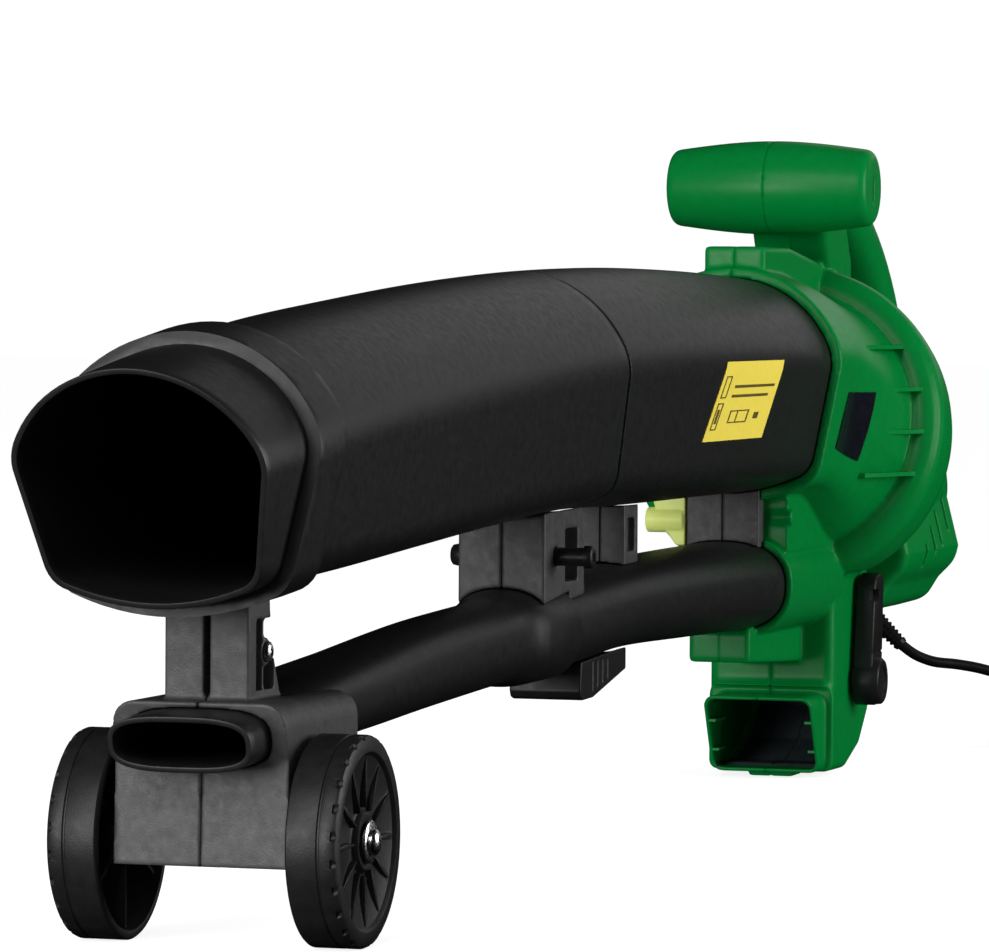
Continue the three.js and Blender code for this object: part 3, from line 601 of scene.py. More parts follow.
def blower_tubes():
    outer = oval_rings(58, -380, 50, 0, NOZZLE_LEAN)
    outer += [oval_ring(-388, 1.4), oval_ring(-394, 3.0), oval_ring(-400, 3.4), oval_ring(-440, 3.4)]
    inner = oval_rings(58, -396, 50, -BLOWER_WALL, NOZZLE_LEAN) + [oval_ring(-400, 0.5), oval_ring(-440, 0.5)]
    skin = sleeve(outer, inner, "blower_tube_front_skin")
    dress(bevel(skin, 0.5, 2, 50), TUBE_BLACK, replaces=["blower_tube_front"])
    skin = sleeve(oval_rings(-404, -882, 44), oval_rings(-404, -882, 44, -BLOWER_WALL),
                  "blower_tube_rear_skin")
    dress(bevel(skin, 0.5, 2, 50), TUBE_BLACK, replaces=["blower_tube_rear"])


# ---- cord ----
CORD_DIAMETER, CORD_SIDES = 6.5, 14
RELIEF_TOP, RELIEF_TIP = (-1198.1, -13.5, 87.9), (-1200, 13.6, 62)
TO_COIL = [(-1200, 14.2, 61.4), (-1202, 22.8, 55.2), (-1206.5, 33, 51), (-1213.8, 46.1, 49.2),
           (-1220.5, 60, 46.4), (-1227.1, 75.8, 41), (-1229.6, 92.1, 32.3), (-1227.7, 109, 23.4),
           (-1232.4, 126.8, 14.8), (-1243.2, 137.6, 9.1), (-1254.9, 141.5, 6)]
COIL_X, COIL_Y, COIL_Z, COIL_FIRST, COIL_PITCH, COIL_FROM, COIL_TO = -1262, 110, 4.5, 31, 7, 90, 660
PLUG_TAIL, PLUG_TILT, PLUG_START = 26, radians(15), 9.9


def coil_radius(angle):
    return COIL_FIRST + COIL_PITCH * (angle - COIL_FROM) / 360


def coil_point(angle):
    a = radians(angle)
    return Vector((COIL_X + coil_radius(angle) * cos(a), COIL_Y + coil_radius(angle) * sin(a), COIL_Z))


def cord_route():
    """The cord's centre line in millimetres: down from the housing, round the coil and out to the plug."""
    points = [Vector(p) for p in TO_COIL]
    steps = round((COIL_TO - COIL_FROM) / 15)
    for i in range(1, steps + 1):
        points.append(coil_point(COIL_FROM + (COIL_TO - COIL_FROM) * i / steps))
    a = radians(COIL_TO) + pi / 2
    end = points[-1]
    rise = PLUG_START - COIL_Z
    for s in (0.35, 0.7, 1.0):
        reach = PLUG_TAIL * s
        points.append(Vector((end.x + reach * cos(a), end.y + reach * sin(a), COIL_Z + rise * s ** 1.6)))
    return points


def fine_route():
    points = cord_route()
    steps = 6 * (len(points) - 1)
    return [spline(points, i / steps) for i in range(steps + 1)]


def cord_mesh(route, radius):
    """A round mesh tube along a route, its rings turned with the path so that they don't twist."""
    normal = Vector((1, 0, 0))
    rings = []
    for i, p in enumerate(route):
        ahead = route[min(i + 1, len(route) - 1)] - route[max(i - 1, 0)]
        tangent = ahead.normalized()
        normal = (normal - tangent * normal.dot(tangent)).normalized()
        side = tangent.cross(normal)
        rings.append([at(*(p + (normal * z + side * y) * radius)) for y, z in unit_circle(CORD_SIDES)])
    return loft(rings, "mains_lead")


def plug_matrix():
    heading = radians(COIL_TO) + pi / 2
    x, y, _ = coil_point(COIL_TO) + Vector((PLUG_TAIL * cos(heading), PLUG_TAIL * sin(heading), 0))
    turn = Matrix.Rotation(heading, 4, "Z") @ Matrix.Rotation(-PLUG_TILT, 4, "Y")
    return Matrix.Translation(at(x, y, PLUG_START)) @ turn


def make_plug():
    profile = [(0.3, 0), (0.3, 4.2)]
    for i in range(5):
        x = 2.4 + 2.6 * i
        profile += [(x - 1, 4.2 + 0.3 * i), (x, 4.9 + 0.35 * i), (x + 0.8, 4.9 + 0.35 * i),
                    (x + 1.2, 4.2 + 0.3 * i)]
    profile += [(15.4, 7.5), (18, 12), (20, 14.8), (22.5, 15.9), (37, 15.9), (39, 15.5), (40, 14.2), (40, 0)]
    body = turned(profile, 48, "plug_body")
    flutes = []
    for y, z in unit_circle(12):
        groove = turned([(21, 0), (21, 1.1), (36, 1.1), (36, 0)], 10)
        flutes.append(moved(groove, Matrix.Translation(Vector((0, 16.4 * MM * y, 16.4 * MM * z)))))
    combine(body, flutes, "DIFFERENCE")
    body = dress(moved(body, plug_matrix()), RUBBER, replaces=["plug"])
    pins = [moved(turned([(39, 0), (39, 2.4), (57.4, 2.3), (58.8, 1.4), (59, 0)], 24),
                  Matrix.Translation(Vector((0, y * MM, 0)))) for y in (-9.5, 9.5)]
    pins = dress(moved(join("plug_pins", pins), plug_matrix()), ZINC)
    return body, pins


def make_relief():
    """The tapered strain relief: a smooth root and a ribbed sleeve that thins towards the cord."""
    start, end = at(*RELIEF_TOP), at(*RELIEF_TIP)
    length = (end - start).length / MM
    root = 16
    profile = [(0, 0), (0, 6.2), (root, 6.1)]
    ribs = 7
    for i in range(ribs):
        x = root + (length - root) * i / ribs
        r = 6.0 - 1.7 * i / ribs
        step = (length - root) / ribs
        profile += [(x + 0.2 * step, r - 0.9), (x + 0.45 * step, r - 0.9), (x + 0.6 * step, r),
                    (x + 0.95 * step, r)]
    profile += [(length, 4.4), (length + 1.5, 4.0), (length + 1.5, 0)]
    piece = moved(turned(profile, 32, "strain_relief_sleeve"), along(start, end))
    return dress(piece, RUBBER, replaces=["strain_relief"], angle=50)


def make_tie():
    inner, outer = COIL_FIRST - CORD_DIAMETER / 2, coil_radius(COIL_TO) + CORD_DIAMETER / 2
    x, reach = COIL_X - (inner + outer) / 2, (outer - inner) / 2 + 0.6
    low, high = COIL_Z - CORD_DIAMETER / 2, COIL_Z + CORD_DIAMETER / 2

    def around(grow, y):
        section = rounded_box(x - reach - grow, x + reach + grow, max(low - 0.3 - grow, 0),
                              high + 0.4 + grow, 2.2 + grow, 5)
        return [at(x, y, z) for x, z in section]

    skin = sleeve([around(0.8, COIL_Y - 5), around(0.8, COIL_Y + 5)],
                  [around(0, COIL_Y - 5), around(0, COIL_Y + 5)],
                  "cord_tie_band")
    return dress(bevel(skin, 0.25, 1, 50), GREY, replaces=["cord_tie"])


def make_cord():
    relief, tie = make_relief(), make_tie()
    plug, pins = make_plug()
    route = fine_route()
    lead = dress(cord_mesh(route, CORD_DIAMETER / 2), RUBBER, replaces=["mains_cord", "cord_coil"])


# ---- housing ----
# Profiles about the shaft as (x, radius), with x measured forward from the fan's middle.
DRUM = [(36, 0), (36, 81), (35.2, 84.5), (33, 88.4), (29.5, 91.6), (25, 93), (16, 93), (8, 92.5),
        (-2, 91.6), (-10, 90), (-16, 88.8), (-22, 87), (-26, 85), (-30, 82), (-33.5, 78.8), (-36, 75),
        (-40, 62), (-80, 59.5), (-120, 57), (-160, 54), (-190, 48), (-200, 46), (-207, 44.3), (-214, 42),
        (-221, 39.4), (-228, 36), (-234, 31), (-238, 26), (-241.5, 21), (-243, 16), (-243, 0)]
CHAMBER = [(30, 0), (30, CHAMBER_RADIUS), (8, CHAMBER_RADIUS), (-10, 84), (-20, 81), (-27, 76.5),
           (-31, 70), (-31, 0)]
MOTOR_SPACE = [(-39.3, 0), (-39.3, 57), (-160, 50.4), (-196, 43), (-210, 39), (-226, 31), (-238.5, 18),
               (-238.5, 0)]
HOOD_FRONT, HOOD_REAR, HOOD_WALL = -1020, -1158, 3.4
HOOD_HALF = [(22, 88), (40, 93), (48, 106), (58, 116), (60, 125), (50, 165)]
VENT_SLOTS = [(-1136.5, 135, 157), (-1112, 127, 147), (-1092.5, 122, 138), (-1070.5, 115, 128.5)]
GRIP_LINE = [(-948, 328), (-1000, 333), (-1050, 329), (-1095, 314), (-1136, 290), (-1168, 260),
             (-1186, 228), (-1190, 192)]
GRIP_HALF_WIDTH, GRIP_HALF_HEIGHT, GRIP_WALL, GRIP_POWER = 18, 16, 3.4, 2 / 2.6
CHUTE_HALF, CHUTE_WALL = 36.5, 3
CHUTE_OUTLINE = [(-933, 128), (-933, 52), (-900, 47.6), (-922, 3.6), (-968, 3.2), (-1001, 14), (-1023, 33),
                 (-1030, 60), (-1024, 100), (-1012, 128)]
CHUTE_INSIDE = [(-936.5, 135), (-936.5, 49), (-895, 43.6), (-915, 8), (-967, 6.6), (-999, 17), (-1020, 35),
                (-1026.5, 60), (-1020.5, 100), (-1008, 135)]
NECK = [(-945, 330), (-968, 309), (-986, 277), (-990, 250), (-1032, 250), (-1030, 296), (-1016, 318),
        (-1000, 336)]
TOP_BLOCK = [(-843, 276), (-843, 302), (-902, 302), (-990, 292), (-1000, 262), (-850, 262)]
LOW_BLOCK = [(-816, 72), (-816, 88.6), (-824, 96), (-940, 96), (-940, 66)]
GUSSET_LEVELS = (246, 222, 198, 174)
HOUSING_VOXEL, SEAM_LAP = 1.05, 0.15


def rounded(outline, y0, y1, width, name, segments=3):
    """A slab with its edges rounded."""
    return bevel(slab(outline, y0, y1, name), width, segments, 30)


def sweep_oval(line, half_width, half_height, steps, name, sides=40):
    """A handle of near-oval section along a side-view line."""
    points = [Vector((x, 0, z)) for x, z in line]
    rings = []
    for i in range(steps + 1):
        u = i / steps
        p = spline(points, u)
        ahead = (spline(points, min(u + 0.01, 1)) - spline(points, max(u - 0.01, 0))).normalized()
        normal = Vector((-ahead.z, 0, ahead.x))
        section = [(half_width * swell(y, GRIP_POWER), half_height * swell(z, GRIP_POWER))
                   for y, z in unit_circle(sides)]
        rings.append([at(*(p + normal * up + Vector((0, y, 0)))) for y, up in section])
    return loft(rings, name)


def cross_bar(grow=0.0):
    """The cross handle: a barrel that is fuller in the middle, with rounded ends."""
    profile = [(-BAR_HALF - grow, 0)]
    for k in range(6):
        a = radians(18 * k)
        profile.append((-BAR_HALF - grow + 5 * (1 - cos(a)), BAR_END + grow - 5 + 5 * sin(a)))
    steps = 20
    for i in range(1, steps):
        s = -1 + 2 * i / steps
        half = BAR_HALF - 5
        profile.append((s * half, BAR_END + grow + (BAR_RADIUS - BAR_END) * cos(s * pi / 2)))
    ends = [(-x, r) for x, r in reversed(profile[:7])]
    solid = turned(profile + ends, 64, "cross_bar")
    return moved(solid, across(BAR_X, BAR_Z))


def inlet_rings(start, grow, shaft_x, radius, steps=10):
    """Rings that pass from the tube's arch section to a circle about the shaft."""
    ring = arch_ring(start, grow)
    centre_z = 225 * MM
    circle = []
    for p in ring:
        a = atan2(p.y, p.z - centre_z)
        circle.append(FAN_FRAME @ Vector((shaft_x * MM, radius * MM * sin(a), radius * MM * cos(a))))
    rings = []
    for i in range(steps + 1):
        s = i / steps
        ease = s * s * (3 - 2 * s)
        rings.append([Vector((p.x + (q.x - p.x) * s, p.y + (q.y - p.y) * ease, p.z + (q.z - p.z) * ease))
                      for p, q in zip(ring, circle)])
    return rings


def hood(wall=0.0):
    """The vent hood under the motor, or the space inside it."""
    right = [(y - wall, max(z, 88 + wall)) for y, z in HOOD_HALF]
    section = right + [(-y, z) for y, z in reversed(right)]
    return extrude(section, -1037 if wall else HOOD_FRONT, HOOD_REAR + wall, "hood")


def gusset(z, side):
    """One of the thin ribs between the inlet and the fan drum."""
    reach = sqrt(86 ** 2 - (z - FAN_Z) ** 2)
    outline = [(-898, 50), (-898, 62.5), (-904, 65), (-958, reach), (-966, reach), (-966, 50)]
    low, high = ([at(x, side * y, z + lift) for x, y in outline] for lift in (-1.2, 1.2))
    return prism(low, high, "gusset")


def outlet(inset, rear, ahead=0.0):
    """The bag outlet's rounded-rectangle section, from rear to a mouth that leans back towards its foot."""
    half = 31.8 - inset
    section = rounded_box(-half, half, 3.4 + inset, 47.8 - inset, max(6.5 - inset, 2.5), 7)
    mouth = [at(-900 + ahead - (47.6 - z) * 0.5, y, z) for y, z in section]
    return loft([[at(rear, y, z) for y, z in section], mouth], "outlet")


def housing_outside():
    chute = rounded(CHUTE_OUTLINE, -CHUTE_HALF, CHUTE_HALF, 5, "chute", 3)
    chute = combine(chute, [box(-932.9, -890, -50, 50, -5, 52)], "DIFFERENCE")
    return [
        outlet(0, -945),
        bevel(pin(-837.5, 152, 24, 36.5, 4.6), 0.6, 2, 40),
        moved(turned(DRUM, 96, "drum"), FAN_FRAME),
        bevel(hood(), 5, 3, 30),
        loft(arch_rings([(7.98, 5.4), (8.0, 6.2), (8.5, 6.2)]), "collar"),
        loft(inlet_rings(8.45, 6.2, 34, 76), "shroud"),
        loft(oval_rings(-829, -950, 4, 4.2), "fairing"),
        box(-950, -835, -16.8, 33.7, 133, 170),
        chute,
        rounded([(-928, 14), (-934, 0.2), (-956, 0.2), (-962, 14)], -13, 13, 1.2, "foot"),
        bar((-1195, -3, 124), (-1198, -14, 86), 10, 9.5),
        rounded(NECK, -23, 23, 6, "neck"),
        sweep_oval(GRIP_LINE, GRIP_HALF_WIDTH, GRIP_HALF_HEIGHT, 24, "grip"),
        cross_bar(),
        rounded(TOP_BLOCK, -17.5, 17.5, 2.2, "top_block", 2),
        rounded(LOW_BLOCK, -17.5, 17.5, 2.2, "low_block", 2),
    ]


def housing_inside():
    inlet = inlet_rings(8.6, -4, 29, 56, 6)
    chute = combine(slab(CHUTE_INSIDE, CHUTE_WALL - CHUTE_HALF, CHUTE_HALF - CHUTE_WALL),
                    [box(-936.5, -880, -50, 50, -5, 60)], "DIFFERENCE")
    grip = [spline([Vector((x, 0, z)) for x, z in GRIP_LINE], 0.06 + 0.87 * i / 8) for i in range(9)]
    return [
        combine(moved(turned(CHAMBER, 64), FAN_FRAME), [box(-1016, -954, LEVER_IN - 4, 70, 70, 121)],
                "DIFFERENCE"),
        moved(turned([(-30, 0), (-30, 11.3), (-40, 11.3), (-40, 0)], 24), FAN_FRAME),
        moved(turned(MOTOR_SPACE, 48), FAN_FRAME),
        hood(HOOD_WALL),
        loft(arch_rings([(7.9, 0.4), (8.68, 0.4)]), "socket"),
        loft(inlet, "inlet"),
        loft(oval_rings(-826, -888, 2, 0.4), "blower_socket"),
        loft(oval_rings(-880, -945, 2, -2.4), "blower_mouth"),
        chute,
        outlet(2.2, -940, 2),
        sweep_oval([(p.x, p.z) for p in grip], GRIP_HALF_WIDTH - GRIP_WALL, GRIP_HALF_HEIGHT - GRIP_WALL,
                   12, "grip_space", sides=20),
        cross_bar(-3.4),
        box(-1086, -1034, -7, 7, 296, 326),
        box(-834.4, -820, -20.8, 20.8, 135, 170),
        box(-833.4, -820, -44.4, -21.3, 135.4, 168),
    ]


def outside_cuts():
    """The recess behind the selector lever and the vent slots of the hood."""
    cuts = [box(-1012, -958, LEVER_IN - 0.9, 60, 80, 117)]
    for x, low, high in VENT_SLOTS:
        outline = [(x - 2.6, low), (x + 2.6, low), (x + 2.6, high), (x - 2.6, high)]
        cuts += [rounded(outline, side * 55 - 15, side * 55 + 15, 1.6, "vent", 2) for side in (1, -1)]
    return cuts


def paint_duct_shade(skin):
    """The duct behind the bag outlet gets painted shade: its small faces there take a dark material in place
    of the green.
    """
    skin.data.materials.append(DUCT_PAINTED_SHADE)
    low, high = at(-1025, -29.2, 5.9), at(-914, 29.2, 45.4)
    for face in skin.data.polygons:
        if all(low[k] < face.center[k] < high[k] for k in range(3)) and face.area < (2 * MM) ** 2:
            face.material_index = 1


def housing():
    """The two housing halves. They lap a little at the seam, so no light passes between soft edges."""
    shell = housing_outside()
    shell = combine(shell[0], shell[1:], "UNION")
    combine(shell, housing_inside() + outside_cuts(), "DIFFERENCE")
    hub = pin(LEVER_X, LEVER_Z, -60, 60, 6.4)
    relief = bar((-1198, -15, 89.3), RELIEF_TIP, 6.8, 4.6)
    slot = box(BAR_X - 1.5, BAR_X + 1.5, BAR_HALF - 4, BAR_HALF + 10, BAR_Z - 8, BAR_Z + 6)
    combine(shell, [hub, relief, slot], "DIFFERENCE")
    corners = [bar((-930, y, 131.2), (-943.5, y, 131.2), 3.2) for y in (-31, 31)]
    combine(shell, corners, "UNION")
    for name, near, far, side in (("left", -SEAM_LAP, 200, 1), ("right", -200, SEAM_LAP, -1)):
        half = half_of(shell, near, far)
        melt(half, HOUSING_VOXEL, 3)
        ribs = [gusset(z, side) for z in GUSSET_LEVELS]
        ribs += [box(-932, -(47.6 - z) * 0.5 - 901, *sorted((side * 26, side * 30)), z - 0.7, z + 0.7)
                 for z in (16, 33)]
        skin = join("housing_" + name + "_skin", [half] + ribs)
        dress(skin, GREEN, replaces=["housing_" + name], angle=60)
        # Painted shade inside the duct behind the bag outlet.
        paint_duct_shade(skin)
    drop(shell)


# ---- decals ----
def decal(target, corners, lift, name, columns=14, rows=8):
    """A thin sheet on a side of a piece: its four (x, z) corners are pushed along -Y onto the surface."""
    tree = BVHTree.FromObject(target, bpy.context.evaluated_depsgraph_get())
    a, b, c, d = (Vector(p) for p in corners)

    def laid(u, v, height):
        p = a.lerp(b, u).lerp(d.lerp(c, u), v)
        hit, normal, _, _ = tree.ray_cast(at(p.x, 150, p.y), Vector((0, -1, 0)))
        return hit + normal * height * MM

    rings = [[laid(k / columns, r / rows, lift + 0.25) for k in range(columns + 1)]
             + [laid(k / columns, r / rows, lift) for k in range(columns, -1, -1)] for r in range(rows + 1)]
    return loft(rings, name)


def warning_label(tube):
    corners = [(-612, 240.5), (-728, 240.5), (-704, 199.5), (-585, 199.5)]
    dress(decal(tube, corners, 0.05, "label_sheet"), LABEL_YELLOW)
    top_left, top_right, low_right, low_left = (Vector(p) for p in corners)

    def spot(u, v):
        return top_left.lerp(top_right, u).lerp(low_left.lerp(low_right, u), v)

    marks = [(0.24, 0.30, 0.93, 0.335), (0.24, 0.42, 0.86, 0.455), (0.42, 0.62, 0.435, 0.78),
             (0.72, 0.66, 0.80, 0.74), (0.08, 0.6, 0.115, 0.78)]
    for u0, v0, u1, v1, side in ((0.30, 0.62, 0.62, 0.78, 0.02), (0.05, 0.18, 0.145, 0.46, 0.015),
                                 (0.05, 0.52, 0.145, 0.86, 0.015)):
        marks += [(u0, v0, u0 + side, v1), (u1 - side, v0, u1, v1), (u0, v0, u1, v0 + 0.015),
                  (u0, v1 - 0.015, u1, v1)]
    bars = []
    for u0, v0, u1, v1 in marks:
        quad = [spot(u0, v0), spot(u1, v0), spot(u1, v1), spot(u0, v1)]
        bars.append(decal(tube, quad, 0.22, "mark", 3, 1))
    dress(join("label_marks", bars), LABEL_INK)


def housing_badge(skin):
    corners = [(-858, 221.5), (-899, 220.9), (-890.5, 182.4), (-849, 190.5)]
    dress(decal(skin, corners, 0.35, "housing_badge", 24, 30), BADGE_NAVY)


# ---- wheels ----
def wheel_about_x():
    """A wheel about +X: rim with a tread groove, dished outer face with leaf ridges, ribbed hollow behind."""
    r, inner, outer, bore = WHEEL_RADIUS, WHEEL_INNER, WHEEL_OUTER, 8
    profile = [(inner, r - 4), (inner, r - 1.4), (inner + 0.3, r - 0.6), (inner + 1, r), (outer - 8.8, r),
               (outer - 8.3, r - 0.7), (outer - 7.7, r - 0.7), (outer - 7.2, r), (outer - 2.4, r),
               (outer - 0.8, r - 0.7), (outer, r - 2.2), (outer, r - 7), (outer - 0.6, r - 7.8),
               (outer - 1.6, r - 8.6), (outer - 3, 26), (outer - 3.8, 16), (outer - 3.4, 13.4),
               (outer - 1.6, 12.4), (outer - 1, 11.6), (outer - 1, bore), (inner + 1, bore),
               (inner + 1, 12), (outer - 8, 13), (outer - 6.5, r - 6), (inner, r - 4)]
    wheel = turned(profile[:-1], 96, "wheel")
    notches, ribs = [], []
    outline = [(14.5, -0.6), (22, -1.9), (29, -2.4), (34.5, -1.2), (35.6, 0), (34.5, 1.2), (29, 2.4),
               (22, 1.9), (14.5, 0.6)]
    root, crest = ([Vector((x * MM, t * MM * shrink, q * MM)) for q, t in outline]
                   for x, shrink in ((outer - 5.5, 1), (outer - 1.3, 0.45)))
    leaves = [moved(prism(root, crest, "leaf"), Matrix.Rotation(2 * pi * k / 12, 4, "X")) for k in range(12)]
    for k in range(24):
        turn = Matrix.Rotation(2 * pi * (k + 0.5) / 24, 4, "X")
        notch = turned([(outer - 2.6, 0), (outer - 2.6, 2.1), (outer + 1, 2.1), (outer + 1, 0)], 10, "notch")
        notches.append(moved(notch, turn @ Matrix.Translation(Vector((0, 0, (r + 0.4) * MM)))))
    for k in range(6):
        turn = Matrix.Rotation(2 * pi * k / 6, 4, "X")
        rib = brick(*(v * MM for v in (inner + 3, outer - 6, -0.8, 0.8, 11, r - 5)))
        ribs.append(moved(rib, turn))
    combine(wheel, leaves + ribs, "UNION")
    return combine(wheel, notches, "DIFFERENCE")


def cross_head(x, radius, height, shank_from, shank):
    """A pan-head screw about +X with a cross recess; its head stands on x."""
    profile = [(shank_from, 0), (shank_from, shank), (x, shank), (x, radius), (x + 0.3 * height, radius)]
    profile += [(x + height * (0.3 + 0.7 * sin(radians(a))), radius * cos(radians(a)))
                for a in (20, 40, 60, 78)]
    screw = turned(profile + [(x + height, 0)], 40, "screw")
    for angle in (45, 135):
        limits = (x + 0.35 * height, x + height + 1, -0.5, 0.5, -0.5 * radius, 0.5 * radius)
        arm = brick(*(v * MM for v in limits))
        combine(screw, [moved(arm, Matrix.Rotation(radians(angle), 4, "X"))], "DIFFERENCE")
    return screw


def wheels():
    for name, side in (("left", 1), ("right", -1)):
        place = across(0, AXLE_Z, side)
        wheel = bevel(moved(wheel_about_x(), place), 0.35, 2, 40)
        dress(wheel, WHEEL_BLACK, name + "_wheel", ["wheel_" + name], 35, "wheel_" + name + "_moulding")
        washer = turned([(64, 3), (64, 9), (64.9, 9), (65.2, 8.6), (65.2, 3)], 48, "washer_" + name)
        dress(moved(washer, place), ZINC, replaces=["wheel_washer_" + name])
        screw = "wheel_screw_" + name
        head = moved(cross_head(65.5, 5.6, 3.5, 45, 2.3), place)
        dress(head, ZINC, replaces=[screw], name=screw + "_cross")


# ---- struts between the tubes ----
def tube_clearance():
    """The space the two tubes take, with a little room round them."""
    outline = [(x + (TUBE_ROOM if i < 2 else -TUBE_ROOM), z) for i, (x, z) in enumerate(BAND_OUTLINE)]
    band = loft(arch_rings(evenly(0.1, 1.5, 4, BAND_HEIGHT + TUBE_ROOM)))
    return [loft(arch_rings(evenly(0, TUBE_END, 40, TUBE_ROOM))),
            combine(band, [slab(outline, -80, 80)], "INTERSECT"),
            loft(oval_rings(62, -884, 60, TUBE_ROOM)), loft(oval_rings(-388, -444, 6, 3.4 + TUBE_ROOM))]


def split_halves(body, name):
    """A left and a right moulding that meet on the centre plane, each with softened edges."""
    for side, near, far in (("_left", 0.08, 300), ("_right", -300, -0.08)):
        half = melt(half_of(body, near, far), 0.8, 3)
        dress(half, GRAINED, replaces=[name + side], angle=60, name=name + side + "_moulding")
    drop(body)


def rounded_block(x0, x1, half_width, z0, z1, corner):
    """A block along X whose top corners are rounded."""
    section = [(-half_width, z0), (half_width, z0)]
    for centre, first in ((half_width - corner, 0), (corner - half_width, 90)):
        section += arc_points(centre, z1 - corner, corner, first, 15, 7)
    return extrude(section, x0, x1, "carrier_block")


def wheel_carrier():
    trim = slab([(32, 30), (30, 80), (36, 104), (25, 116), (22, 170), (-70, 170), (-70, 82), (-34, 66),
                 (-30, 30)], -45, 45)
    body = combine(rounded_block(-62, 38, 38.5, 35.2, 104.4, 10), [trim], "INTERSECT")
    combine(body, [box(-80, 24, -34.5, 34.5, 39, 70)], "DIFFERENCE")
    strut = slab([(24.5, 98), (24.5, 165), (0, 165), (-6, 126), (-20, 98)], -18.6, 18.6)
    slot = slab([(30, 106), (30, 170), (17, 170), (12, 106)], -1.4, 1.4)
    recesses = [box(-8, 14, 12, 30, 108, 138), box(-8, 14, -30, -12, 108, 138)]
    combine(strut, [slot] + recesses, "DIFFERENCE")
    boss = pin(STRUT_SCREW_X, STRUT_SCREW_Z, -18.6, 18.6, 6)
    ribs = [box(3, 5, side * 15 - 3, side * 15 + 3, 106, 140) for side in (1, -1)]
    stubs = pin(0, AXLE_Z, -60, 60, 7.5)
    shoulders = pin(0, AXLE_Z, -40.9, 40.9, 13)
    combine(body, [strut, boss, stubs, shoulders] + ribs, "UNION")
    drills = [pin(0, AXLE_Z, -80, 80, 2.6), pin(STRUT_SCREW_X, STRUT_SCREW_Z, -30, 30, 2.3)]
    combine(body, drills + tube_clearance(), "DIFFERENCE")
    split_halves(body, "wheel_carrier")
    screw = moved(cross_head(18.9, 4.4, 2.5, -12, 2), across(STRUT_SCREW_X, STRUT_SCREW_Z))
    dress(screw, STEEL, replaces=["carrier_screw"], name="carrier_screw_cross")


def mid_strut():
    body = slab([(-400, 112), (-400, 178), (-466, 178), (-472, 112)], -22, 22)
    cuts = [pin(PIN_X, PIN_Z, -40, 40, 4.9)]
    cuts += [box(-458, -436, 15, 30, 134, 160), box(-458, -436, -30, -15, 134, 160)]
    combine(body, cuts + tube_clearance(), "DIFFERENCE")
    split_halves(body, "mid_strut")
    profile = [(-31, 0), (-31, 4), (-30.2, 5), (-23, 6.4), (-22.4, 6.0), (-22.4, 4.5), (36.5, 4.5),
               (36.6, 5.6), (38.4, 5.6), (40.2, 5.4), (41, 4.6), (41, 2.4), (40.2, 2.0), (40.2, 0)]
    piece = moved(turned(profile, 48, "lock_pin_round"), across(PIN_X, PIN_Z))
    dress(piece, LEVER_BLACK, "tube_pin", ["lock_pin"], 50)


def web(name, front, depth, half_width):
    plate = box(front - depth, front, -half_width, half_width, 128, 172)
    cuts = [box(front - 2, front + 1, -0.7, 0.7, 120, 180)]
    cuts += [box(front - depth + 6, front - 6, side * half_width - 4, side * half_width + 4, 143, 160)
             for side in (1, -1)
             if depth > 14]
    combine(plate, cuts + tube_clearance(), "DIFFERENCE")
    dress(melt(plate, 0.7, 3), GRAINED, replaces=[name], angle=60, name=name + "_moulding")


def bag_hook():
    outer = [(-478, 92), (-476, 77), (-477.5, 74), (-482, 72.6), (-500, 73), (-560, 84), (-560, 98),
             (-478, 98)]
    inner = [(-483, 86), (-482, 78), (-498, 76.5), (-565, 88), (-565, 91)]
    body = slab(outer, -18.5, 18.5)
    ribs = [box(-558, -484, y - 0.7, y + 0.7, 78, 90) for y in (-6, 6)]
    combine(body, [slab(inner, -15.5, 15.5)], "DIFFERENCE")
    combine(body, ribs, "UNION")
    combine(body, [loft(oval_rings(-470, -570, 12, 1))], "DIFFERENCE")
    lines = [box(-500 - 9 * k, -498 - 9 * k, side * 18.5 - 0.6, side * 18.5 + 0.6, 76 + 1.6 * k, 92)
             for k in range(4)
             for side in (1, -1)]
    combine(body, lines, "DIFFERENCE")
    dress(melt(body, 0.6, 2), LEVER_BLACK, replaces=["bag_hook"], angle=60, name="bag_hook_moulding")


def tube_latch():
    wedge = [(-21.6, 167), (-42, 167), (-37, 150), (-27, 136), (-21.6, 136)]
    body = bevel(extrude(wedge, -833, -822, "latch"), 1, 2, 30)
    boss = bevel(pin(-826, 150, -44, -22.5, 7), 0.8, 2, 40)
    hole = pin(-826, 150, -46, -36, 3.4)
    combine(body, [boss], "UNION")
    combine(body, [hole] + tube_clearance(), "DIFFERENCE")
    dress(melt(body, 0.5, 2), LIME, replaces=["tube_latch"], angle=60, name="tube_latch_moulding")


# ---- controls ----
def selector():
    x, z = LEVER_X, LEVER_Z
    arm = rounded([(x - 14, z + 2), (x + 12, z + 4), (x + 4, z + 54), (x + 1.6, z + 58.6),
                   (x - 2, z + 60.6), (x - 9, z + 62), (x - 14.5, z + 61.4),
                   (x - 18, z + 58)], LEVER_IN, LEVER_OUT, 1.4, "lever_arm")
    hub = turned([(LEVER_IN, 0), (LEVER_IN, 13.6), (LEVER_IN + 0.6, 14), (LEVER_OUT - 1, 14),
                  (LEVER_OUT, 13.6), (LEVER_OUT + 3, 13.2), (LEVER_OUT + 4, 12.2), (LEVER_OUT + 4, 8.4),
                  (LEVER_OUT + 3, 8), (LEVER_OUT + 3, 0)], 64)
    notch = box(x - 4, x + 8, LEVER_OUT - 3.4, LEVER_OUT + 2, z + 46, z + 53)
    step = box(x - 20, x + 10, LEVER_OUT - 0.8, LEVER_OUT + 2, z + 16, z + 17.4)
    combine(arm, [moved(hub, across(x, z))], "UNION")
    combine(arm, [notch, step], "DIFFERENCE")
    arm = bevel(arm, 0.4, 2, 40)
    dress(arm, LEVER_BLACK, "selector", ["selector_lever"], name="selector_lever_moulding")


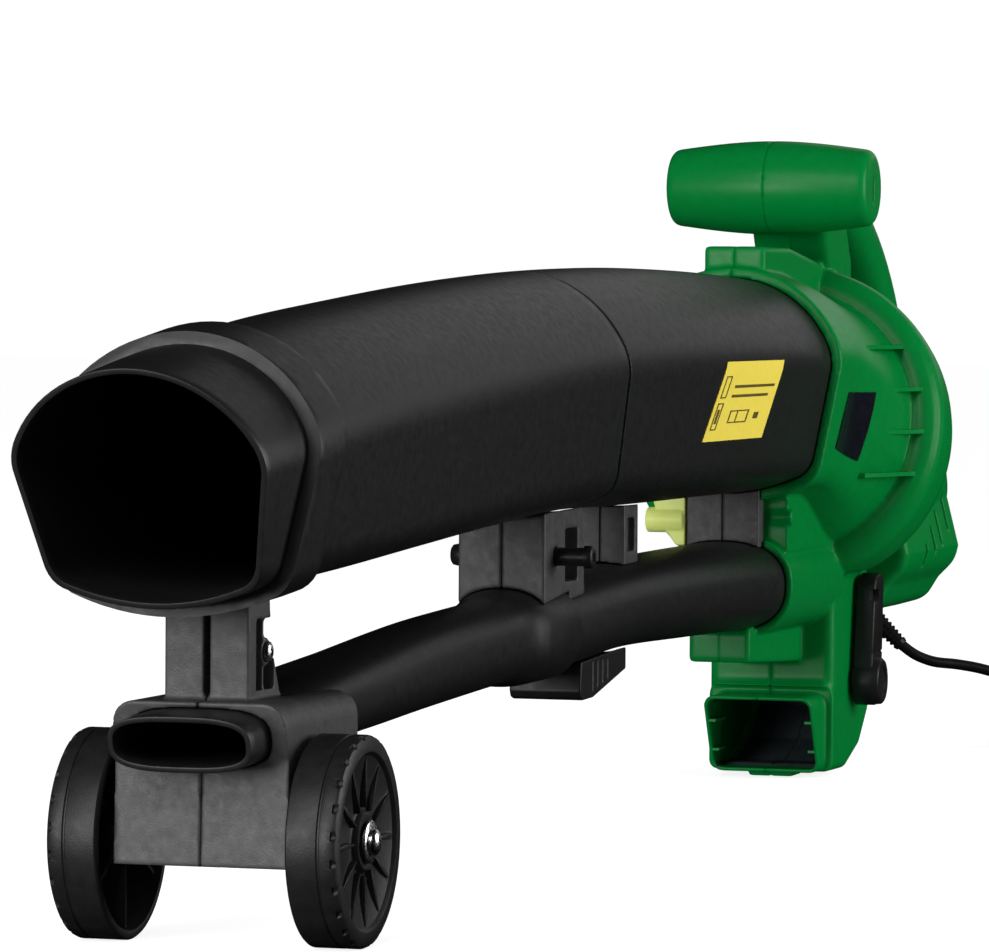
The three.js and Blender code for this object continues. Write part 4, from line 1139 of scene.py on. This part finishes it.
def trigger():
    outline = [(-1038, 300), (-1042, 298.2), (-1048, 297.6), (-1058, 298), (-1067, 297), (-1074, 296),
               (-1078, 297.6), (-1080, 301), (-1080, 320), (-1038, 322)]
    finger = rounded(outline, -6, 6, 1.6, "trigger_moulding")
    dress(finger, LEVER_BLACK, "trigger_lever", ["trigger"], 50)


def paint_inside():
    """The pieces inside the housing keep their CAD shape, each with its own material."""
    looks = {"motor_shaft": STEEL, "impeller": GREY, "impeller_nut": ZINC, "motor_armature": COPPER,
             "motor_commutator": COPPER, "motor_stator": STEEL, "motor_bearing_front": STEEL,
             "motor_bearing_rear": STEEL,
             "motor_brush_upper": INSIDE, "motor_brush_lower": INSIDE, "motor_bridge": GREY,
             "switch_body": GREY,
             "selector_flap": LEVER_BLACK}
    looks.update({"housing_screw_%d" % i: STEEL for i in range(1, 5)})
    for name, material in looks.items():
        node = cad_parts[name]
        node.data.materials.clear()
        node.data.materials.append(material)


make_camera()
make_cord()
suction_tubes()
blower_tubes()
housing()
warning_label(bpy.data.objects["suction_tube_rear_skin"])
housing_badge(bpy.data.objects["housing_left_skin"])
wheels()
wheel_carrier()
mid_strut()
web("tube_web_middle", -575, 26, 13)
web("tube_web_rear", -822, 12, 20.5)
bag_hook()
tube_latch()
selector()
trigger()
paint_inside()


def paint_stage(sheet, color, glow):
    """The studio gives off a little light of its own to stay pale, and casts none on the machine."""
    material, shader = new_material(sheet.name, color, 0.8)
    put(shader, Specular_IOR_Level=0.0, Emission_Color=(1, 1, 1, 1), Emission_Strength=glow)
    sheet.data.materials.append(material)
    sheet.visible_glossy = False
    sheet.visible_diffuse = False


def dome(radius, rings=12, sides=24):
    """The white studio all round, from below the floor to straight above."""
    rows = []
    for i in range(1, rings):
        a = pi * i / rings
        rows.append([Vector((radius * sin(a) * cos(2 * pi * k / sides),
                             radius * sin(a) * sin(2 * pi * k / sides), radius * cos(a)))
                     for k in range(sides)])
    return loft(rows, "studio_dome")


def light_stage():
    half = 20
    floor = new_object("floor", [(-half, -half, 0), (half, -half, 0), (half, half, 0), (-half, half, 0)],
                       [(0, 1, 2, 3)])
    paint_stage(floor, (0.5, 0.5, 0.5), 0.84)
    sky = dome(30)
    paint_stage(sky, (0.1, 0.1, 0.1), 1.0)
    sky.visible_shadow = False
    world = bpy.data.worlds.new("studio")
    world.use_nodes = True
    put(world.node_tree.nodes["Background"], Color=(1, 1, 1, 1), Strength=0.3)
    bpy.context.scene.world = world
    world.cycles_visibility.glossy = False
    bpy.context.scene.view_settings.view_transform = "Standard"

    def lamp(name, where, aim, size, power):
        data = bpy.data.lights.new(name, "AREA")
        data.energy, data.size = power, size
        made = bpy.data.objects.new(name, data)
        made.location = where
        made.visible_camera = False
        made.rotation_euler = (Vector(aim) - Vector(where)).to_track_quat("-Z", "Y").to_euler()
        bpy.context.collection.objects.link(made)

    lamp("key", (2.9, -0.2, 1.7), (0, 0, 0.2), 1.4, 44)
    lamp("front", (2.9, -0.8, 0.36), (-0.2, 0, 0.12), 0.9, 47)
    lamp("top", (-2.6, 0.25, 1.25), (-0.1, 0, 0.25), 1.6, 4.5)
    lamp("left_side", (-0.45, 1.35, 0.42), (-0.35, 0, 0.15), 0.8, 14)


light_stage()
